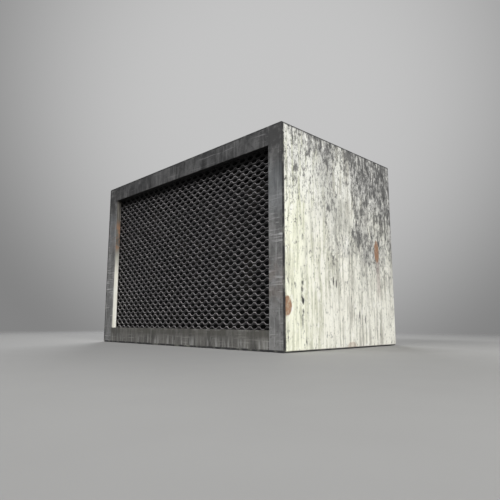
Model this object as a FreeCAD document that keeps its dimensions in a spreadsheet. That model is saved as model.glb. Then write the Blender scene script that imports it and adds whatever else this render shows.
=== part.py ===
import FreeCAD, Part

"""Air filter housing: a side-access filter box of folded sheet steel for a small engine.

Air enters through the expanded metal in the front frame, passes a foam pad and a pleated
element in a drawer, and leaves through a hose spigot at the rear. The drawer slides out to
the left. Frame: +X right, +Y to the rear, +Z up, origin at the centre of the underside.
All lengths are in millimetres.
"""

import math
import os
import Sketcher

DRIVING_SIZES = {
    # casing
    "width": 288, "depth": 168, "height": 186, "sheet": 1.5, "bend": 2, "rear_flange": 14,
    # front frame and grille
    "border": 16.5, "recess": 6, "frame_flange": 10, "strap_length": 28, "strap_thick": 1.2,
    "grille_lap": 5, "grille_thick": 2.6, "mesh_long": 10, "mesh_short": 8, "mesh_start_x": -1.3,
    "mesh_start_z": 1.3, "hole_long": 7.3, "hole_flat": 2.5, "hole_short": 3.8, "mesh_margin": 1,
    "ring_lap": 8.5, "clip_width": 12, "clip_thick": 1.2, "clip_hook": 7.6, "clip_start": 3,
    "clip_spacing": 90, "strap_margin": 2, "weld_gap": 0.5,
    # drawer and its runners
    "tray_setback": 14, "tray_depth": 68, "tray_low": 27, "tray_flange": 8, "tray_end_gap": 5,
    "slide_gap": 0.3, "runner_lap": 8, "cutout_gap": 1, "seal_bead": 6.2, "seal_width": 6,
    "seal_inset": 4, "seal_proud": 2.2, "seal_room": 0.8, "partition_lap": 14,
    "partition_flange": 10, "foam_thick": 14, "media_gap": 0.3, "rivet_room": 2.5,
    "element_wall": 12, "pleat_pitch": 8, "pleat_margin": 2, "paper": 0.8,
    "spring_strip": 0.5, "spring_width": 14, "spring_leg": 14, "spring_hook": 3.5,
    "spring_spacing": 90,
    # end plate, thumbscrews and handle
    "plate_thick": 2, "plate_front": 4, "plate_rear": 10, "plate_inset": 3, "plate_radius": 6,
    "gasket_thick": 2, "gasket_width": 5.5, "gasket_room": 1, "wall_gap": 0.2,
    "screw_inset": 12, "shank_radius": 2.5, "knob_radius": 7, "knob_length": 10.8,
    "knob_edge": 1, "collar_radius": 4.5, "collar_length": 2, "screw_tip": 3, "running_gap": 0.05,
    "clip_radius": 5, "groove_radius": 2, "groove_width": 1, "rivet_radius": 2, "rivet_head": 3.5,
    "rivet_crown": 2.1, "rivet_dome": 1.5, "rivet_tail": 1, "rivet_tail_radius": 2.8,
    "rivet_front": 60, "rivet_rear": 12, "rivet_low": 38,
    "bail_rod": 3, "bail_reach": 7, "bail_half": 24, "bail_drop": 38, "bail_height": 110,
    "bail_stub": 2, "ear_play": 1, "ear_thick": 2, "ear_half": 6, "foot_half": 9, "foot_reach": 10,
    "foot_rivet_out": 1, "foot_rivet_rise": 4.5,
    # rear cover, spigot and fasteners
    "cover_inset": 2, "cover_gasket": 1.5, "spigot_radius": 30, "spigot_wall": 1.5,
    "spigot_length": 34.5, "spigot_flange": 46, "spigot_flange_thick": 2, "bolt_circle": 39,
    "spigot_chamfer": 0.5, "hex_radius": 4.62, "hex_head": 3.5, "nut_thick": 4, "washer_radius": 5,
    "washer_thick": 1, "clear_radius": 2.75, "nut_bore": 2.6, "thread_end": 1, "panel_step": 0.5,
    "cover_screw_z": 8, "cover_screw_x": 110, "cover_screw_near": 37, "cover_side_x": 134,
    "cover_side_z": 60,
    "base_x": 110, "base_y": 55, "base_bore": 3, "base_nut_radius": 4.5, "base_nut_length": 12,
    "base_bulge": 6, "base_bulge_height": 2.5,
}
PAST = 1                # how far a cutting tool runs past the face that it starts from

doc = FreeCAD.newDocument("air_filter_housing")
sheet_cells = doc.addObject("Spreadsheet::Sheet", "Dims")
for row, (alias, value) in enumerate(DRIVING_SIZES.items(), start=1):
    sheet_cells.set(f"A{row}", alias)
    sheet_cells.set(f"B{row}", f"{value:g}")
    sheet_cells.setAlias(f"B{row}", alias)
doc.recompute()


class Size:
    """A length that knows both its value and the expression that gives it."""

    def __init__(self, text, value):
        self.text = text
        self.value = value

    def __add__(self, other):
        other = as_size(other)
        return Size(f"({self.text} + {other.text})", self.value + other.value)

    def __sub__(self, other):
        other = as_size(other)
        return Size(f"({self.text} - {other.text})", self.value - other.value)

    def __mul__(self, factor):
        factor = as_size(factor)
        return Size(f"({self.text} * {factor.text})", self.value * factor.value)

    def __truediv__(self, divisor):
        divisor = as_size(divisor)
        return Size(f"({self.text} / {divisor.text})", self.value / divisor.value)

    def __neg__(self):
        return as_size(0) - self

    def __radd__(self, other):
        return as_size(other) + self


def as_size(number):
    """A bare number as a Size."""
    return number if isinstance(number, Size) else Size(f"{number:.6g}", number)


def cell(alias):
    """A driving dimension of the sheet."""
    return Size(f"Dims.{alias}", float(sheet_cells.get(alias)))


def bind(obj, prop, size):
    """Set a property from a size, through the sheet."""
    obj.setExpression(prop, as_size(size).text)


# --- building blocks -----------------------------------------------------------------------

def place(obj, x, y, z):
    """Put an object's corner or centre at a point given by sizes."""
    for axis, size in zip("xyz", (x, y, z)):
        bind(obj, f"Placement.Base.{axis}", size)


def block(name, x, y, z):
    """A box between a low and a high size on each axis."""
    box = doc.addObject("Part::Box", name)
    place(box, x[0], y[0], z[0])
    for prop, span in (("Length", x), ("Width", y), ("Height", z)):
        bind(box, prop, as_size(span[1]) - span[0])
    return box


TURN = {
    "x": FreeCAD.Rotation(FreeCAD.Vector(0, 1, 0), 90),
    "y": FreeCAD.Rotation(FreeCAD.Vector(1, 0, 0), -90),
    "z": FreeCAD.Rotation(),
}


def centre_line(axis, low, across):
    """The point on a line along the axis at height low; across holds the other two axes."""
    first, second = across
    return {"x": (low, first, second), "y": (first, low, second), "z": (first, second, low)}[axis]


def rod(name, axis, across, radius, low, high):
    """A cylinder along an axis, from low to high."""
    cylinder = doc.addObject("Part::Cylinder", name)
    cylinder.Placement = FreeCAD.Placement(FreeCAD.Vector(), TURN[axis])
    place(cylinder, *centre_line(axis, low, across))
    bind(cylinder, "Radius", radius)
    bind(cylinder, "Height", as_size(high) - low)
    return cylinder


def cone(name, axis, across, radii, low, high):
    """A cone frustum along an axis, with its radius at low and at high."""
    frustum = doc.addObject("Part::Cone", name)
    frustum.Placement = FreeCAD.Placement(FreeCAD.Vector(), TURN[axis])
    place(frustum, *centre_line(axis, low, across))
    bind(frustum, "Radius1", radii[0])
    bind(frustum, "Radius2", radii[1])
    bind(frustum, "Height", as_size(high) - low)
    return frustum


def hexagon(name, axis, across, radius, low, high):
    """A hexagonal prism along an axis, from low to high."""
    prism = doc.addObject("Part::Prism", name)
    prism.Polygon = 6
    prism.Placement = FreeCAD.Placement(FreeCAD.Vector(), TURN[axis])
    place(prism, *centre_line(axis, low, across))
    bind(prism, "Circumradius", radius)
    bind(prism, "Height", as_size(high) - low)
    return prism


def joined(name, pieces):
    """One solid made of several that touch or overlap."""
    fuse = doc.addObject("Part::MultiFuse", name)
    fuse.Shapes = pieces
    fuse.Refine = True
    return fuse


def less(name, base, tools):
    """A solid with one or more tools taken out of it."""
    tool = tools[0] if len(tools) == 1 else joined(f"{name}_tools", tools)
    cut = doc.addObject("Part::Cut", name)
    cut.Base = base
    cut.Tool = tool
    return cut


def group(name, pieces):
    """Identical separate solids that share one node."""
    compound = doc.addObject("Part::Compound", name)
    compound.Links = pieces
    return compound


def ring(name, outer, inner, holes=()):
    """A flat picture-frame ring: outer and inner are (x span, y span, z span)."""
    return less(name, block(f"{name}_outer", *outer), [block(f"{name}_inner", *inner), *holes])


def in_order(one, other):
    """Two sizes as a span, the smaller first."""
    return tuple(sorted((as_size(one), as_size(other)), key=lambda size: size.value))


def grown(span, by):
    """A span made longer by a size at both ends."""
    return (as_size(span[0]) - by, as_size(span[1]) + by)


PLANE_ROLE = {"x": "YZ_Plane", "y": "XZ_Plane", "z": "XY_Plane"}


def sketch_on(body, name, axis, low, high):
    """An empty sketch across an axis, at the end from which a feature runs between low and high."""
    plane = next(item for item in body.Origin.OriginFeatures if item.Role == PLANE_ROLE[axis])
    sketch = body.newObject("Sketcher::SketchObject", name)
    sketch.AttachmentSupport = [(plane, "")]
    sketch.MapMode = "FlatFace"
    bind(sketch, "AttachmentOffset.Base.z", -as_size(high) if axis == "y" else low)
    return sketch


def draw_outline(sketch, corners):
    """A closed outline with straight sides; every corner is bound to its two sizes."""
    count = len(corners)
    points = [FreeCAD.Vector(as_size(u).value, as_size(v).value, 0) for u, v in corners]
    first = sketch.GeometryCount
    for index in range(count):
        sketch.addGeometry(Part.LineSegment(points[index], points[(index + 1) % count]), False)
    for index, (u, v) in enumerate(corners):
        line = first + index
        sketch.addConstraint(
            Sketcher.Constraint("Coincident", line, 2, first + (index + 1) % count, 1))
        for kind, size in (("DistanceX", u), ("DistanceY", v)):
            number = sketch.addConstraint(
                Sketcher.Constraint(kind, -1, 1, line, 1, as_size(size).value))
            if "Dims." in as_size(size).text:
                bind(sketch, f"Constraints[{number}]", size)


def draw_circle(sketch, u, v, radius):
    """A full circle with its centre and radius bound to sizes."""
    centre = FreeCAD.Vector(as_size(u).value, as_size(v).value, 0)
    line = sketch.addGeometry(
        Part.Circle(centre, FreeCAD.Vector(0, 0, 1), as_size(radius).value), False)
    for kind, size in (("DistanceX", u), ("DistanceY", v)):
        number = sketch.addConstraint(
            Sketcher.Constraint(kind, -1, 1, line, 3, as_size(size).value))
        if "Dims." in as_size(size).text:
            bind(sketch, f"Constraints[{number}]", size)
    number = sketch.addConstraint(Sketcher.Constraint("Radius", line, as_size(radius).value))
    bind(sketch, f"Constraints[{number}]", radius)


def rectangle(u, v):
    """The four corners of a rectangle between two spans."""
    return [(u[0], v[0]), (u[1], v[0]), (u[1], v[1]), (u[0], v[1])]


def pad(body, name, axis, corners, low, high, circles=()):
    """Sheet or bar of a drawn section between low and high on an axis."""
    sketch = sketch_on(body, f"{name}_section", axis, low, high)
    draw_outline(sketch, corners)
    for circle in circles:
        draw_circle(sketch, *circle)
    feature = body.newObject("PartDesign::Pad", name)
    feature.Profile = sketch
    bind(feature, "Length", as_size(high) - low)
    return feature


def pocket(body, name, axis, low, high, outlines=(), circles=()):
    """Take a drawn section out of a body between low and high on an axis."""
    before = body.Shape.Volume
    sketch = sketch_on(body, f"{name}_section", axis, low, high)
    for corners in outlines:
        draw_outline(sketch, corners)
    for circle in circles:
        draw_circle(sketch, *circle)
    feature = body.newObject("PartDesign::Pocket", name)
    feature.Profile = sketch
    feature.Reversed = True
    bind(feature, "Length", as_size(high) - low)
    doc.recompute()
    if body.Shape.Volume >= before:
        raise RuntimeError(f"{name} takes nothing out of {body.Label}")
    return feature


def new_body(name):
    return doc.addObject("PartDesign::Body", name)


def section_body(name, axis, corners, low, high):
    """A body that is one section pushed along one axis."""
    body = new_body(name)
    pad(body, f"{name}_pad", axis, corners, low, high)
    return body


def turned_body(name, direction, profile, across, up):
    """A body of revolution about a line along X or Y, drawn as (along, radius) corners.

    across and up are the line's other coordinate in the XY plane and its height.
    """
    body = new_body(name)
    sketch = sketch_on(body, f"{name}_section", "z", up, up)
    if direction == "y":
        corners = [(across + radius, along) for along, radius in profile]
    else:
        corners = [(along, across + radius) for along, radius in profile]
    draw_outline(sketch, corners)
    draw_turning_line(sketch, direction, across)
    feature = body.newObject("PartDesign::Revolution", f"{name}_turn")
    feature.Profile = sketch
    feature.ReferenceAxis = (sketch, ["Axis0"])
    feature.Angle = 360
    return body


def draw_turning_line(sketch, direction, across):
    """The construction line that a section turns about: the sketch's Axis0."""
    offset = as_size(across).value
    if direction == "y":
        ends = (FreeCAD.Vector(offset, -1, 0), FreeCAD.Vector(offset, 1, 0))
        offset_kind, along_kind = "DistanceX", "DistanceY"
    else:
        ends = (FreeCAD.Vector(-1, offset, 0), FreeCAD.Vector(1, offset, 0))
        offset_kind, along_kind = "DistanceY", "DistanceX"
    line = sketch.addGeometry(Part.LineSegment(*ends), True)
    for end, along in ((1, -1), (2, 1)):
        number = sketch.addConstraint(Sketcher.Constraint(offset_kind, -1, 1, line, end, offset))
        bind(sketch, f"Constraints[{number}]", across)
        sketch.addConstraint(Sketcher.Constraint(along_kind, -1, 1, line, end, along))


def edges_along(shape, axis, keep):
    """Names of the straight edges parallel to an axis whose middle passes a test."""
    names = []
    direction = {"x": FreeCAD.Vector(1, 0, 0), "y": FreeCAD.Vector(0, 1, 0),
                 "z": FreeCAD.Vector(0, 0, 1)}[axis]
    for number, edge in enumerate(shape.Edges, start=1):
        if edge.Curve.TypeId != "Part::GeomLine" or edge.Curve.Direction.cross(direction).Length > 1e-6:
            continue
        if keep(edge.CenterOfMass):
            names.append(f"Edge{number}")
    return names


def fillet(body, name, base, edges, radius):
    """Round the named edges of a body's last feature."""
    feature = body.newObject("PartDesign::Fillet", name)
    feature.Base = (base, edges)
    bind(feature, "Radius", radius)
    return feature


# --- places that several pieces share --------------------------------------------------------

sheet = cell("sheet")
half_width = cell("width") / 2
height = cell("height")
front = -(cell("depth") / 2)
rear = cell("depth") / 2
middle = height / 2
inner_x = half_width - sheet
inner_z = (sheet, height - sheet)

open_x = half_width - cell("border")
open_z = (cell("border"), height - cell("border"))
lip_back = front + cell("recess")
grille_back = lip_back + cell("grille_thick")
ring_back = grille_back + sheet

tray_front = front + cell("tray_setback")
tray_rear = tray_front + cell("tray_depth")
tray_z = (cell("tray_low"), height - cell("tray_low"))
tray_inner_end = half_width - cell("tray_end_gap")
seal_rear = tray_rear + cell("seal_proud")
partition_front = seal_rear + cell("slide_gap")
cutout_y = (tray_front - cell("cutout_gap"), seal_rear + cell("seal_room"))
cutout_z = grown(tray_z, cell("cutout_gap"))

plate_back = -half_width - cell("wall_gap") - cell("gasket_thick")
plate_face = plate_back - cell("plate_thick")
plate_y = (front + cell("plate_front"), cell("plate_rear"))
post_face = plate_back + sheet
handle_y = (plate_y[0] + plate_y[1]) / 2
screw_z = {"lower": cell("screw_inset"), "upper": height - cell("screw_inset")}

cover_back = rear + cell("cover_gasket")
cover_face = cover_back + sheet
spigot_gasket_face = cover_face + cell("cover_gasket")
spigot_flange_face = spigot_gasket_face + cell("spigot_flange_thick")
spigot_end = spigot_flange_face + cell("spigot_length")

row_x = [cell(alias) * side for alias in ("cover_screw_x", "cover_screw_near") for side in (-1, 1)]
row_z = (cell("cover_screw_z"), height - cell("cover_screw_z"))
side_x = (-cell("cover_side_x"), cell("cover_side_x"))
side_z = (cell("cover_side_z"), height - cell("cover_side_z"))
cover_screws = [(x, z) for z in row_z for x in row_x] + [(x, z) for x in side_x for z in side_z]
bolt_arm = cell("bolt_circle") * math.sqrt(0.5)
spigot_screws_at = [(bolt_arm * a, middle + bolt_arm * b) for a in (-1, 1) for b in (-1, 1)]
rivet_z = (cell("rivet_low"), middle, height - cell("rivet_low"))
rivet_places = [(y, z) for y in (-cell("rivet_front"), -cell("rivet_rear")) for z in rivet_z]


# --- casing and front frame ------------------------------------------------------------------

def casing_wrapper():
    """Folded wrapper with its rear flange, the drawer cut-out and the screw holes."""
    body = new_body("casing_wrapper")
    outer = pad(body, "wrapper_block", "y",
                rectangle((-half_width, half_width), (0, height)), front, rear)
    doc.recompute()
    corners = edges_along(body.Shape, "y", lambda point: True)
    fillet(body, "wrapper_bends", outer, corners, cell("bend"))
    doc.recompute()
    pocket(body, "wrapper_inside", "y", front - PAST, rear - sheet,
           [rectangle((-inner_x, inner_x), inner_z)])
    flange = cell("rear_flange")
    pocket(body, "rear_opening", "y", rear - sheet - PAST, rear + PAST,
           [rectangle((-(inner_x - flange), inner_x - flange),
                      (inner_z[0] + flange, inner_z[1] - flange))],
           [(x, z, cell("clear_radius")) for x, z in cover_screws])
    pocket(body, "drawer_cutout", "x", -half_width - PAST, -inner_x + PAST,
           [rectangle(cutout_y, cutout_z)],
           [(handle_y, z, cell("clear_radius")) for z in screw_z.values()])
    pocket(body, "rivet_nut_holes", "z", as_size(-PAST), sheet + PAST, (),
           [(cell("base_x") * a, cell("base_y") * b, cell("base_nut_radius"))
            for a in (-1, 1) for b in (-1, 1)])
    return body


def frame_stile(name, side):
    """Upright channel of the front frame: face, inner lip and outer flange."""
    flat = front + sheet
    corners = [
        (inner_x * side, front),
        (open_x * side, front),
        (open_x * side, lip_back),
        ((open_x + sheet) * side, lip_back),
        ((open_x + sheet) * side, flat),
        ((inner_x - sheet) * side, flat),
        ((inner_x - sheet) * side, flat + cell("frame_flange")),
        (inner_x * side, flat + cell("frame_flange")),
    ]
    body = section_body(name, "z", corners, *inner_z)
    doc.recompute()
    lip_x = grown(in_order(open_x * side, (open_x + sheet) * side), cell("weld_gap"))
    for end, span in (("foot", (inner_z[0] - PAST, open_z[0])),
                      ("head", (open_z[1], inner_z[1] + PAST))):
        pocket(body, f"{name}_{end}_relief", "z", *span, [rectangle(lip_x, (flat, lip_back + PAST))])
    return body


def frame_rail(name, edge, inward):
    """Cross channel of the front frame; edge is the opening's edge, inward is +1 if it lies below."""
    flat = front + sheet
    wall = edge + (cell("border") - sheet) * inward
    corners = [
        (front, wall),
        (front, edge),
        (lip_back, edge),
        (lip_back, edge + sheet * inward),
        (flat, edge + sheet * inward),
        (flat, wall - sheet * inward),
        (flat + cell("frame_flange"), wall - sheet * inward),
        (flat + cell("frame_flange"), wall),
    ]
    return section_body(name, "x", corners, -open_x, open_x)


def frame_corner_straps():
    """Straps welded behind the butt joints between stiles and rails."""
    back = front + sheet
    end = inner_x - sheet - cell("weld_gap")
    margin = cell("strap_margin")
    straps = []
    for side in (-1, 1):
        x = in_order(end * side, (end - cell("strap_length")) * side)
        for level, z in (("low", (inner_z[0] + margin, open_z[0] - sheet - margin / 2)),
                         ("high", (open_z[1] + sheet + margin / 2, inner_z[1] - margin))):
            straps.append(block(f"strap_{level}_{'left' if side < 0 else 'right'}", x,
                                (back, back + cell("strap_thick")), z))
    return group("frame_corner_straps", straps)


def hole_row(row):
    """Centres along X of the grille's openings in one row, and the row's height."""
    pitch = cell("mesh_long").value
    half_hole = cell("hole_long").value / 2
    start = cell("mesh_start_x").value + (pitch / 2 if row % 2 else 0.0)
    reach = int(open_x.value / pitch) + 1
    centres = [start + column * pitch for column in range(-reach, reach + 1)]
    edge = (open_x + cell("grille_lap") - cell("mesh_margin")).value
    row_height = open_z[0].value - cell("mesh_start_z").value + row * cell("mesh_short").value / 2
    return [x for x in centres if abs(x) + half_hole < edge], row_height


def notched_edge(row, half_x, rise):
    """Points from left to right along a row of openings, dipping by rise into each opening."""
    centres, level = hole_row(row)
    half_long, half_flat = cell("hole_long").value / 2, cell("hole_flat").value / 2
    points = [(-half_x, level)]
    for x in centres:
        points += [(x - half_long, level), (x - half_flat, level + rise),
                   (x + half_flat, level + rise), (x + half_long, level)]
    return points + [(half_x, level)]


def grille():
    """Expanded metal panel: rows of long hexagonal openings, alternate rows half a pitch apart.

    It is sewn from strips that meet along the middles of the openings' rows.
    """
    half_x = (open_x + cell("grille_lap")).value
    low_z = (open_z[0] - cell("grille_lap")).value
    high_z = (open_z[1] + cell("grille_lap")).value
    thick = cell("grille_thick").value
    rise = cell("hole_short").value / 2
    row_step = cell("mesh_short").value / 2
    rows = range(int((open_z[1] - open_z[0] + cell("mesh_start_z")).value / row_step) + 1)
    below = [[(-half_x, low_z), (half_x, low_z)]]
    below += [notched_edge(row, half_x, rise) for row in rows]
    above = [notched_edge(row, half_x, -rise) for row in rows]
    above.append([(-half_x, high_z), (half_x, high_z)])
    seams = [hole_row(row)[1] for row in rows]
    faces = []
    for lower, upper in zip(below, above):
        outline = lower + upper[::-1]
        points = [FreeCAD.Vector(x, lip_back.value, z) for x, z in outline + outline[:1]]
        strip = Part.Face(Part.makePolygon(points)).extrude(FreeCAD.Vector(0, thick, 0))
        for face in strip.Faces:
            box = face.BoundBox
            on_seam = any(abs(box.ZMin - seam) + abs(box.ZMax - seam) < 1e-6 for seam in seams)
            if not on_seam:
                faces.append(face)
    shell = Part.makeShell(faces)
    shell.sewShape()
    panel = doc.addObject("Part::Feature", "grille")
    panel.Shape = Part.makeSolid(shell)
    return panel


def grille_retainer():
    """Flat ring behind the grille's edge."""
    lap = cell("ring_lap")
    return ring("grille_retainer",
                ((-(open_x + lap), open_x + lap), (grille_back, ring_back), grown(open_z, lap)),
                ((-open_x, open_x), (grille_back - PAST, ring_back + PAST), open_z))


def grille_clips():
    """Bent clips on the frame's flanges that press the ring on the grille."""
    thick = cell("clip_thick")
    foot_y = (front + cell("clip_start"), ring_back + thick)
    hook_y = (ring_back, ring_back + thick)
    half_clip = cell("clip_width") / 2
    clips = []
    for side, name in ((-1, "left"), (1, "right")):
        wall = (inner_x - sheet) * side
        foot = in_order(wall, wall - thick * side)
        hook = in_order(wall - thick * side, wall - (thick + cell("clip_hook")) * side)
        z = (middle - half_clip, middle + half_clip)
        clips.append(joined(f"clip_{name}", [block(f"clip_{name}_foot", foot, foot_y, z),
                                             block(f"clip_{name}_hook", hook, hook_y, z)]))
    for inward, name in ((1, "low"), (-1, "high")):
        wall = inner_z[0] + sheet if inward > 0 else inner_z[1] - sheet
        foot = in_order(wall, wall + thick * inward)
        hook = in_order(wall + thick * inward, wall + (thick + cell("clip_hook")) * inward)
        for number, step in enumerate((-1, 0, 1)):
            x = grown((cell("clip_spacing") * step, cell("clip_spacing") * step), half_clip)
            label = f"clip_{name}_{number}"
            clips.append(joined(label, [block(f"{label}_foot", x, foot_y, foot),
                                        block(f"{label}_hook", x, hook_y, hook)]))
    return group("grille_clips", clips)


# --- inside of the casing --------------------------------------------------------------------

def runner(name, wall, track, inward):
    """Folded runner: a web beside the tray's front and a shelf on to the seal partition."""
    web_front = tray_front - cell("slide_gap") - sheet
    web_back = web_front + sheet
    shelf = track - cell("slide_gap") * inward
    tip = track + cell("runner_lap") * inward
    corners = [
        (web_front, wall),
        (web_back, wall),
        (web_back, shelf - sheet * inward),
        (partition_front, shelf - sheet * inward),
        (partition_front, shelf),
        (web_back, shelf),
        (web_back, tip),
        (web_front, tip),
    ]
    return section_body(name, "x", corners, -inner_x, inner_x)


def seal_partition():
    """Pan-shaped bulkhead behind the drawer, open inside the element's seal."""
    back = partition_front + sheet
    flange_back = back + cell("partition_flange")
    x = (-inner_x, inner_x)
    pan = less("partition_pan", block("partition_block", x, (partition_front, flange_back), inner_z),
               [block("partition_hollow", grown(x, -sheet), (back, flange_back + PAST),
                      grown(inner_z, -sheet))])
    opening = block("partition_opening", grown(element_x, -cell("partition_lap")),
                    (partition_front - PAST, back + PAST), grown(element_z, -cell("partition_lap")))
    return less("seal_partition", pan, [opening])


def thumbscrew_nuts():
    """Weld nuts behind the left wall, one for each thumbscrew."""
    nuts = []
    for level, z in screw_z.items():
        across = (handle_y, z)
        low, high = -inner_x, -inner_x + cell("nut_thick")
        nuts.append(less(f"{level}_nut", hexagon(f"{level}_nut_hex", "x", across,
                                                 cell("hex_radius"), low, high),
                         [rod(f"{level}_nut_bore", "x", across, cell("nut_bore"),
                              low - PAST, high + PAST)]))
    return group("thumbscrew_nuts", nuts)


def base_rivet_nuts():
    """M6 rivet nuts set flush in the floor, each with its crimped collar above the sheet."""
    nuts = []
    for number, (a, b) in enumerate([(a, b) for a in (-1, 1) for b in (-1, 1)]):
        across = (cell("base_x") * a, cell("base_y") * b)
        label = f"rivet_nut_{number}"
        barrel = rod(f"{label}_barrel", "z", across, cell("base_nut_radius"), as_size(0),
                     cell("base_nut_length"))
        collar = rod(f"{label}_collar", "z", across, cell("base_bulge"), sheet,
                     sheet + cell("base_bulge_height"))
        bore = rod(f"{label}_bore", "z", across, cell("base_bore"), as_size(-PAST),
                   cell("base_nut_length") + PAST)
        nuts.append(less(label, joined(f"{label}_body", [barrel, collar]), [bore]))
    return group("base_rivet_nuts", nuts)


# --- rear cover and outlet -------------------------------------------------------------------

def rear_gasket():
    """Flat gasket between the wrapper's rear flange and the cover."""
    x = (-(half_width - cell("cover_inset")), half_width - cell("cover_inset"))
    z = grown((as_size(0), height), -cell("cover_inset"))
    inside = inner_x - cell("rear_flange")
    holes = [rod(f"gasket_hole_{number}", "y", place_xz, cell("clear_radius"),
                 rear - PAST, cover_back + PAST)
             for number, place_xz in enumerate(cover_screws)]
    return ring("rear_gasket", (x, (rear, cover_back), z),
                ((-inside, inside), (rear - PAST, cover_back + PAST),
                 grown(inner_z, -cell("rear_flange"))), holes)


def rear_panel():
    """Flat cover of the clean air side with its outlet and screw holes."""
    body = new_body("rear_panel")
    inset = cell("cover_inset")
    circles = [(x, z, cell("clear_radius")) for x, z in cover_screws + spigot_screws_at]
    circles.append((0, middle, cell("spigot_radius") - cell("panel_step")))
    pad(body, "cover_plate", "y",
        rectangle((-(half_width - inset), half_width - inset), (inset, height - inset)),
        cover_back, cover_face, circles)
    return body


def hex_screw(name, across, seat, reach):
    """Hexagon screw with a washer, its shank running forward from the seat to reach."""
    washer = rod(f"{name}_washer", "y", across, cell("washer_radius"), seat,
                 seat + cell("washer_thick"))
    head = hexagon(f"{name}_head", "y", across, cell("hex_radius"), seat + cell("washer_thick"),
                   seat + cell("washer_thick") + cell("hex_head"))
    shank = rod(f"{name}_shank", "y", across, cell("shank_radius"), reach,
                seat + cell("washer_thick"))
    return joined(name, [washer, head, shank])


def hex_nut(name, across, back):
    """Hexagon nut along Y whose rear face is at back."""
    low = back - cell("nut_thick")
    return less(name, hexagon(f"{name}_hex", "y", across, cell("hex_radius"), low, back),
                [rod(f"{name}_bore", "y", across, cell("nut_bore"), low - PAST, back + PAST)])


def screws_and_nuts(prefix, places, seat, nut_back):
    """A set of hexagon screws and the nuts they turn into."""
    screws = [hex_screw(f"{prefix}_screw_{number}", across, seat, 
                        nut_back - cell("nut_thick") - cell("thread_end"))
              for number, across in enumerate(places)]
    nuts = [hex_nut(f"{prefix}_nut_{number}", across, nut_back)
            for number, across in enumerate(places)]
    return group(f"{prefix}_screws", screws), group(f"{prefix}_nuts", nuts)


def spigot_gasket():
    """Round gasket under the spigot's flange."""
    across = (as_size(0), middle)
    disc = rod("spigot_gasket_disc", "y", across, cell("spigot_flange"), cover_face,
               spigot_gasket_face)
    holes = [rod(f"spigot_gasket_hole_{number}", "y", place_xz, cell("clear_radius"),
                 cover_face - PAST, spigot_gasket_face + PAST)
             for number, place_xz in enumerate(spigot_screws_at)]
    bore = rod("spigot_gasket_bore", "y", across, cell("spigot_radius"), cover_face - PAST,
               spigot_gasket_face + PAST)
    return less("spigot_gasket", disc, [bore, *holes])


def outlet_spigot():
    """Flanged hose spigot, its mouth chamfered outside."""
    outside = cell("spigot_radius")
    inside = outside - cell("spigot_wall")
    chamfer = cell("spigot_chamfer")
    profile = [
        (spigot_gasket_face, inside),
        (spigot_gasket_face, cell("spigot_flange")),
        (spigot_flange_face, cell("spigot_flange")),
        (spigot_flange_face, outside),
        (spigot_end - chamfer * 2, outside),
        (spigot_end, outside - chamfer),
        (spigot_end, inside),
    ]
    body = turned_body("outlet_spigot", "y", profile, as_size(0), middle)
    doc.recompute()
    pocket(body, "spigot_screw_holes", "y", spigot_gasket_face - PAST, spigot_flange_face + PAST, (),
           [(x, z, cell("clear_radius")) for x, z in spigot_screws_at])
    return body


# --- drawer ----------------------------------------------------------------------------------

def tray_rail(name, track, inward):
    """Angle that closes the tray below or above: a web and a front flange."""
    flange_tip = track + cell("tray_flange") * inward
    corners = [
        (tray_front, track),
        (tray_rear, track),
        (tray_rear, track + sheet * inward),
        (tray_front + sheet, track + sheet * inward),
        (tray_front + sheet, flange_tip),
        (tray_front, flange_tip),
    ]
    return section_body(name, "x", corners, post_face, tray_inner_end - sheet)


def tray_post(name, face, inward):
    """Angle at an end of the tray: a web across it and a front flange between the rails."""
    web_x = in_order(face, face + sheet * inward)
    flange_x = in_order(face + sheet * inward, face + cell("tray_flange") * inward)
    web = block(f"{name}_web", web_x, (tray_front, tray_rear), tray_z)
    flange = block(f"{name}_flange", flange_x, (tray_front, tray_front + sheet),
                   grown(tray_z, -(cell("tray_flange") + cell("weld_gap"))))
    return [web, flange]


def tray_outer_post():
    """Post behind the end plate, with the rivet holes."""
    web_and_flange = tray_post("tray_outer_post", plate_back, 1)
    holes = [rod(f"post_hole_{number}", "x", across, cell("rivet_radius"),
                 plate_back - PAST, post_face + PAST)
             for number, across in enumerate(rivet_places + bracket_rivet_places())]
    return less("tray_outer_post", joined("outer_post_body", web_and_flange), holes)


media_low = post_face + cell("rivet_room")
media_high = tray_inner_end - sheet - cell("media_gap")
media_z = grown(tray_z, -(sheet + cell("media_gap")))
foam_front = tray_front + sheet + cell("media_gap")
foam_back = foam_front + cell("foam_thick")
element_front = foam_back + cell("media_gap")
element_back = seal_rear - cell("seal_bead")
element_x = (media_low, media_high)
element_z = grown(media_z, -cell("media_gap"))


def prefilter_foam():
    """Open-cell foam pad on the dirty side."""
    body = new_body("prefilter_foam")
    pad(body, "foam_pad", "y", rectangle((media_low, media_high), media_z), foam_front, foam_back)
    return body


def element_frame():
    """Moulded frame round the pleats."""
    wall = cell("element_wall")
    return ring("element_frame", (element_x, (element_front, element_back), element_z),
                (grown(element_x, -wall), (element_front - PAST, element_back + PAST),
                 grown(element_z, -wall)))


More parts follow.
